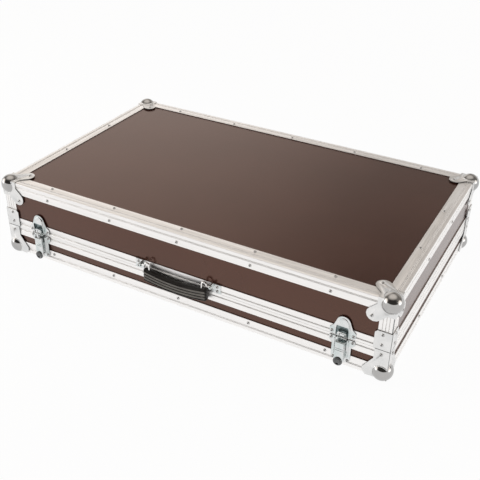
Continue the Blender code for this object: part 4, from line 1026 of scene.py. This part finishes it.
@dataclass
class CarryHandle(Rivets):
    """Brackets, bails and grip."""

    rivet_along: float = 0.1033
    rivet_rises: tuple[float, float] = (0.00725, 0.01825)
    grip_bow: float = 0.009
    grip_waist: float = 0.0022
    grip_round: float = 0.0045
    grip_cap: float = 0.0035
    grip_steps: int = 28
    crests: int = 3
    crest_steps: int = 6
    valley: float = 0.0020
    cap_steps: int = 4

    def build(self) -> None:
        """Finish the CAD's parts and add the bracket rivets."""
        for hand, end in (("left", -1), ("right", 1)):
            self.finish_node("handle_bracket_" + hand, (self.finishes.zinc,), "zinc_plate")
            self.finish_node("handle_bail_" + hand, (self.finishes.chrome,), "bail_chrome", 0.0, 50.0)
            places = [SIZES.face(Side.FRONT, end * self.rivet_along, SIZES.latch_plate, SIZES.base_height + rise)
                      for rise in self.rivet_rises]
            self.row(f"handle_bracket_{hand}_rivets", places, Body.LID, "zinc_plate")
        self.grip("handle_grip")

    def section(self, depth: float, height: float) -> list[Vector]:
        """Half way round the grip: a rounded bar with crested ribs on its outer face.

        Args:
            depth: The grip's thickness.
            height: Its height.

        Returns:
            The outline in x = 0, y outward negative, from the grip's middle.
        """
        low, top = self.grip_round - height / 2, height / 2 - self.grip_round
        points = []
        for index in range(self.crests * self.crest_steps + 1):
            along = index / self.crest_steps
            swell = math.sqrt(max(0.0, 1 - (2 * (along % 1) - 1) ** 2))
            points.append(Vector((0, -depth / 2 + self.valley * (1 - swell), low + (top - low) * along / self.crests)))
        for centre, start in (((-1, top), 180), ((1, top), 90), ((1, low), 0), ((-1, low), -90)):
            middle = Vector((0, centre[0] * (depth / 2 - self.grip_round), centre[1]))
            for step in range(1 if start == 180 else 0, 5 if start != -90 else 4):
                angle = math.radians(start - step * 22.5)
                points.append(middle + Vector((0, math.cos(angle), math.sin(angle))) * self.grip_round)
        return points

    def grip(self, node: str) -> None:
        """Add the moulded grip: swept along its bow, a little waisted, with domed ends and crests in a pale finish that
        is painted highlight.

        Args:
            node: The CAD node that it stands for.
        """
        low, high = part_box(node)
        size = high - low
        height = size.z - self.grip_bow
        half = size.x / 2 - self.grip_cap
        shape = bmesh.new()
        outline = [shape.verts.new(point) for point in self.section(size.y, height)]
        face = shape.faces.new(outline)
        for item in outline:
            item.co.x = -half
        crest = set()
        ring = [face]
        for step in range(1, self.grip_steps + 1):
            ring = self.push(shape, ring[0], Vector((2 * half / self.grip_steps, 0, 0)), 1.0)
        for end in (min, max):
            cap = end(shape.faces, key=lambda item: item.calc_center_median().x)
            sign = math.copysign(1.0, cap.calc_center_median().x)
            rounding = self.grip_cap / min(size.y, height) * 2
            last = 0.0
            for step in range(1, self.cap_steps + 1):
                angle = step / self.cap_steps * math.pi / 2
                reach = math.sin(angle) * self.grip_cap
                scale = 1 - rounding * (1 - math.cos(angle))
                before = 1 - rounding * (1 - math.cos(angle - math.pi / 2 / self.cap_steps))
                cap = self.push(shape, cap, Vector((sign * (reach - last), 0, 0)), scale / before)[0]
                last = reach
        centre = (low + high) / 2
        for vert in shape.verts:
            bow = 1 - (vert.co.x / (half + self.grip_cap)) ** 2
            vert.co.z *= 1 - bow * self.grip_waist / height
            vert.co.z += high.z - height / 2 - self.grip_bow * bow
            vert.co.x += centre.x
            vert.co.y += centre.y
        bmesh.ops.recalc_face_normals(shape, faces=shape.faces[:])
        # painted highlight: the crests' outer faces take the pale crest finish
        for item in shape.faces:
            middle = item.calc_center_median()
            if item.normal.y < -0.93 and middle.y < low.y + self.valley * 0.45 and abs(middle.x) < half:
                item.material_index = 1
        mesh = bpy.data.meshes.new(node)
        shape.to_mesh(mesh)
        shape.free()
        mesh.shade_smooth()
        mesh.set_sharp_from_angle(angle=math.radians(50.0))
        self.add("handle_grip_moulded", mesh, (self.finishes.grip, self.finishes.crest),
                 frame["nodes"][node]["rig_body"], "grip_rubber", node)

    @staticmethod
    def push(shape: bmesh.types.BMesh, face: bmesh.types.BMFace, move: Vector, scale: float) -> list[bmesh.types.BMFace]:
        """Extrude an end face and move and scale it about its middle.

        Args:
            shape: The bmesh.
            face: The end face.
            move: The way to move it.
            scale: Its scale in its own plane.

        Returns:
            The moved face, alone in a list.
        """
        pushed = bmesh.ops.extrude_face_region(shape, geom=[face])["geom"]
        if face.is_valid:
            bmesh.ops.delete(shape, geom=[face], context="FACES_ONLY")
        moved = [item for item in pushed if isinstance(item, bmesh.types.BMVert)]
        middle = sum((vert.co for vert in moved), Vector()) / len(moved)
        for vert in moved:
            vert.co = middle + (vert.co - middle) * scale + move
        return [item for item in pushed if isinstance(item, bmesh.types.BMFace)]


@dataclass
class Hinges(Rivets):
    """The two hinges at the back."""

    centre: float = 0.300
    spacing: float = 0.032
    offset: float = 0.0135

    def build(self) -> None:
        """Finish the CAD's parts and add the leaf rivets."""
        for hand, end in (("left", 1), ("right", -1)):
            for part in ("lid_leaf", "base_leaf", "pin"):
                self.finish_node(f"hinge_{hand}_{part}", (self.finishes.zinc,), "zinc_plate")
            for body, up in ((Body.LID, 1), (Body.BASE, -1)):
                places = [SIZES.face(Side.BACK, end * self.centre + step * self.spacing, SIZES.latch_plate,
                                     SIZES.base_height + up * self.offset) for step in (-1, 0, 1)]
                self.row(f"hinge_{hand}_{body.value}_rivets", places, body, "zinc_plate")


@dataclass
class Lining(SubAssembly):
    """The foam inside: soft-edged slabs whose faces swell a little between their edges."""

    edge: float = 0.003
    cell: float = 0.030
    swell: float = 0.0006

    def build(self) -> None:
        """Replace the foam solids."""
        for node in ("base_foam_bed", "lid_foam_pad"):
            self.slab(node)
        strip = self.finish_node("base_foam_surround", (self.finishes.foam,), "lining_foam", 0.0015)

    def slab(self, node: str) -> None:
        """Add a foam slab in place of a CAD one.

        Args:
            node: The CAD node.
        """
        low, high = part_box(node)
        size = high - low
        shape = bmesh.new()
        bmesh.ops.create_grid(shape, x_segments=round(size.x / self.cell), y_segments=round(size.y / self.cell), size=0.5)
        bmesh.ops.transform(shape, verts=shape.verts[:], matrix=Matrix.Translation((low + high) / 2) @ Matrix.Diagonal(
            (size.x, size.y, 1.0, 1.0)))
        bmesh.ops.translate(shape, verts=shape.verts[:], vec=(0, 0, -size.z / 2))
        pushed = bmesh.ops.extrude_face_region(shape, geom=shape.faces[:])
        top = [item for item in pushed["geom"] if isinstance(item, bmesh.types.BMVert)]
        bmesh.ops.translate(shape, verts=top, vec=(0, 0, size.z))
        bmesh.ops.recalc_face_normals(shape, faces=shape.faces[:])
        rim = [edge for edge in shape.edges if edge.calc_face_angle(0.0) > 1.0]
        bmesh.ops.bevel(shape, geom=rim, offset=self.edge, segments=3, profile=0.5, affect="EDGES", material=-1)
        for vert in shape.verts:
            inset = min(vert.co.x - low.x, high.x - vert.co.x, vert.co.y - low.y, high.y - vert.co.y)
            if inset > self.edge * 1.5:
                ripple = field_noise.noise(vert.co * 14.0) * 0.5 + 0.5
                vert.co.z -= math.copysign(self.swell * ripple, vert.co.z - (low.z + high.z) / 2)
        mesh = bpy.data.meshes.new(node)
        shape.to_mesh(mesh)
        shape.free()
        mesh.shade_smooth()
        piece = self.add(node + "_soft", mesh, (self.finishes.foam,), frame["nodes"][node]["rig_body"], "lining_foam", node)


@dataclass(frozen=True)
class Glow:
    """A soft bright or dark patch of the room."""

    aim: tuple[float, float, float]
    inner: float
    outer: float
    strength: float


@dataclass
class Studio:
    """Floor, room, lamps and camera."""

    eye: tuple[float, float, float] = (0.775520, -1.452363, 1.051934)
    right: tuple[float, float, float] = (0.87615187, 0.48174205, 0.01680779)
    up: tuple[float, float, float] = (-0.26699819, 0.45597255, 0.849)
    back: tuple[float, float, float] = (0.40133511, -0.74834058, 0.52812546)
    focal_pixels: float = 757.517
    frame_pixels: float = 480.0
    sensor: float = 36.0
    floor_size: float = 16.0
    floor_white: float = 0.95
    low_band: tuple[float, float] = (0.20, 0.31)
    warm: Colour = (1.0, 0.935, 0.87)
    white: Colour = (1.0, 1.0, 1.0)
    ceiling: float = 0.27
    dark: Glow = Glow((0.15, -0.80, 0.45), 32.0, 62.0, 0.80)
    back_glow: Glow = Glow((-0.692, 0.692, 0.208), 10.0, 36.0, 0.80)
    side_glow: Glow = Glow((0.25, 0.95, 0.25), 8.0, 36.0, 0.34)
    overhead: Glow = Glow((-0.15, 0.10, 1.0), 12.0, 44.0, 0.78)
    softboxes: tuple[Glow, ...] = (
        Glow((-0.90, -0.374, 0.224), 10.0, 26.0, 1.9),
        Glow((0.953, 0.10, 0.286), 9.0, 24.0, 1.9),
    )

    def camera(self) -> None:
        """Set the camera where the photograph was taken."""
        data = bpy.data.cameras.new("camera")
        data.sensor_width = self.sensor
        data.lens = self.focal_pixels / self.frame_pixels * self.sensor
        data.clip_end = 50.0
        item = bpy.data.objects.new("camera", data)
        bpy.context.scene.collection.objects.link(item)
        matrix = Matrix((self.right, self.up, self.back)).transposed().to_4x4()
        matrix.translation = self.eye
        item.matrix_world = matrix
        bpy.context.scene.camera = item

    def floor(self) -> None:
        """A plain pale floor that is near white to the camera and in gloss, and keeps the shadow."""
        shape = bmesh.new()
        bmesh.ops.create_grid(shape, x_segments=1, y_segments=1, size=self.floor_size / 2)
        mesh = bpy.data.meshes.new("floor")
        shape.to_mesh(mesh)
        shape.free()
        item = bpy.data.objects.new("floor", mesh)
        bpy.context.scene.collection.objects.link(item)
        material, shader, tree = new_material("floor_paint")
        shader.inputs["Base Color"].default_value = (0.93, 0.93, 0.93, 1.0)
        shader.inputs["Roughness"].default_value = 0.9
        shader.inputs["Specular IOR Level"].default_value = 0.1
        glow = tree.nodes.new("ShaderNodeEmission")
        path = tree.nodes.new("ShaderNodeLightPath")
        mix = tree.nodes.new("ShaderNodeMixShader")
        seen = calculate(tree, "ADD", path.outputs["Is Camera Ray"], path.outputs["Is Glossy Ray"], True)
        seen = calculate(tree, "ADD", seen, path.outputs["Is Transmission Ray"], True)
        tree.links.new(calculate(tree, "MULTIPLY", seen, self.floor_white), mix.inputs["Fac"])
        tree.links.new(shader.outputs["BSDF"], mix.inputs[1])
        tree.links.new(glow.outputs["Emission"], mix.inputs[2])
        tree.links.new(mix.outputs["Shader"], tree.nodes["Material Output"].inputs["Surface"])
        mesh.materials.append(material)

    def lamp(self, name: str, place: Sequence[float], size: float, power: float) -> None:
        """A square soft lamp aimed at the case, which gloss shows as the room's soft patch and not as a square.

        Args:
            name: The lamp's name.
            place: Where it stands.
            size: Its edge.
            power: Watts.
        """
        data = bpy.data.lights.new(name, "AREA")
        data.size = size
        data.energy = power
        item = bpy.data.objects.new(name, data)
        bpy.context.scene.collection.objects.link(item)
        item.location = place
        item.visible_glossy = False
        aim = Vector((0.0, 0.0, 0.1)) - Vector(place)
        item.rotation_euler = aim.to_track_quat("-Z", "Y").to_euler()

    @staticmethod
    def patch(tree: Tree, way: Socket, glow: Glow) -> Socket:
        """How strongly a patch of the room shows in a direction.

        Args:
            tree: The world's node tree.
            way: The direction.
            glow: The patch.

        Returns:
            Its strength there.
        """
        dot = tree.nodes.new("ShaderNodeVectorMath")
        dot.operation = "DOT_PRODUCT"
        dot.inputs[1].default_value = Vector(glow.aim).normalized()
        tree.links.new(way, dot.inputs[0])
        reach = (math.cos(math.radians(glow.outer)), math.cos(math.radians(glow.inner)))
        return remap(tree, dot.outputs["Value"], reach, (0.0, glow.strength))

    def room(self) -> None:
        """A white room that darkens overhead and behind the camera, with soft bright patches."""
        world = bpy.data.worlds.new("room")
        bpy.context.scene.world = world
        world.use_nodes = True
        tree = world.node_tree
        place = tree.nodes.new("ShaderNodeTexCoord")
        way = place.outputs["Generated"]
        split = tree.nodes.new("ShaderNodeSeparateXYZ")
        tree.links.new(way, split.inputs["Vector"])
        shade = calculate(tree, "SUBTRACT", 1.0, self.patch(tree, way, self.dark))
        high = calculate(tree, "MULTIPLY", shade, self.ceiling)
        for glow in (self.back_glow, self.side_glow, self.overhead):
            high = calculate(tree, "ADD", high, self.patch(tree, way, glow))
        low = remap(tree, split.outputs["Z"], self.low_band, (1.0, 0.0))
        level = calculate(tree, "MAXIMUM", high, low)
        for glow in self.softboxes:
            level = calculate(tree, "ADD", level, self.patch(tree, way, glow))
        tree.links.new(level, tree.nodes["Background"].inputs["Strength"])
        tree.links.new(blend_colours(tree, low, ((0.0, self.warm), (1.0, self.white))),
                       tree.nodes["Background"].inputs["Color"])

    def build(self) -> None:
        """Set up the studio."""
        self.camera()
        self.floor()
        self.room()
        self.lamp("left_softbox", (-2.16, -0.90, 0.64), 1.1, 26.0)
        self.lamp("right_softbox", (2.30, 0.24, 0.79), 0.9, 10.0)
        bpy.context.scene.view_settings.view_transform = "Standard"


def main() -> None:
    """Dress the case and set the scene."""
    logging.basicConfig(level=logging.INFO)
    finishes = Finishes()
    for kind in (Shell, EdgeRivets, CornerFittings, Latches, CarryHandle, Hinges, Lining):
        kind(finishes).build()
        LOG.info("%s built", kind.__name__)
    Studio().build()


if __name__ == "__main__":
    main()
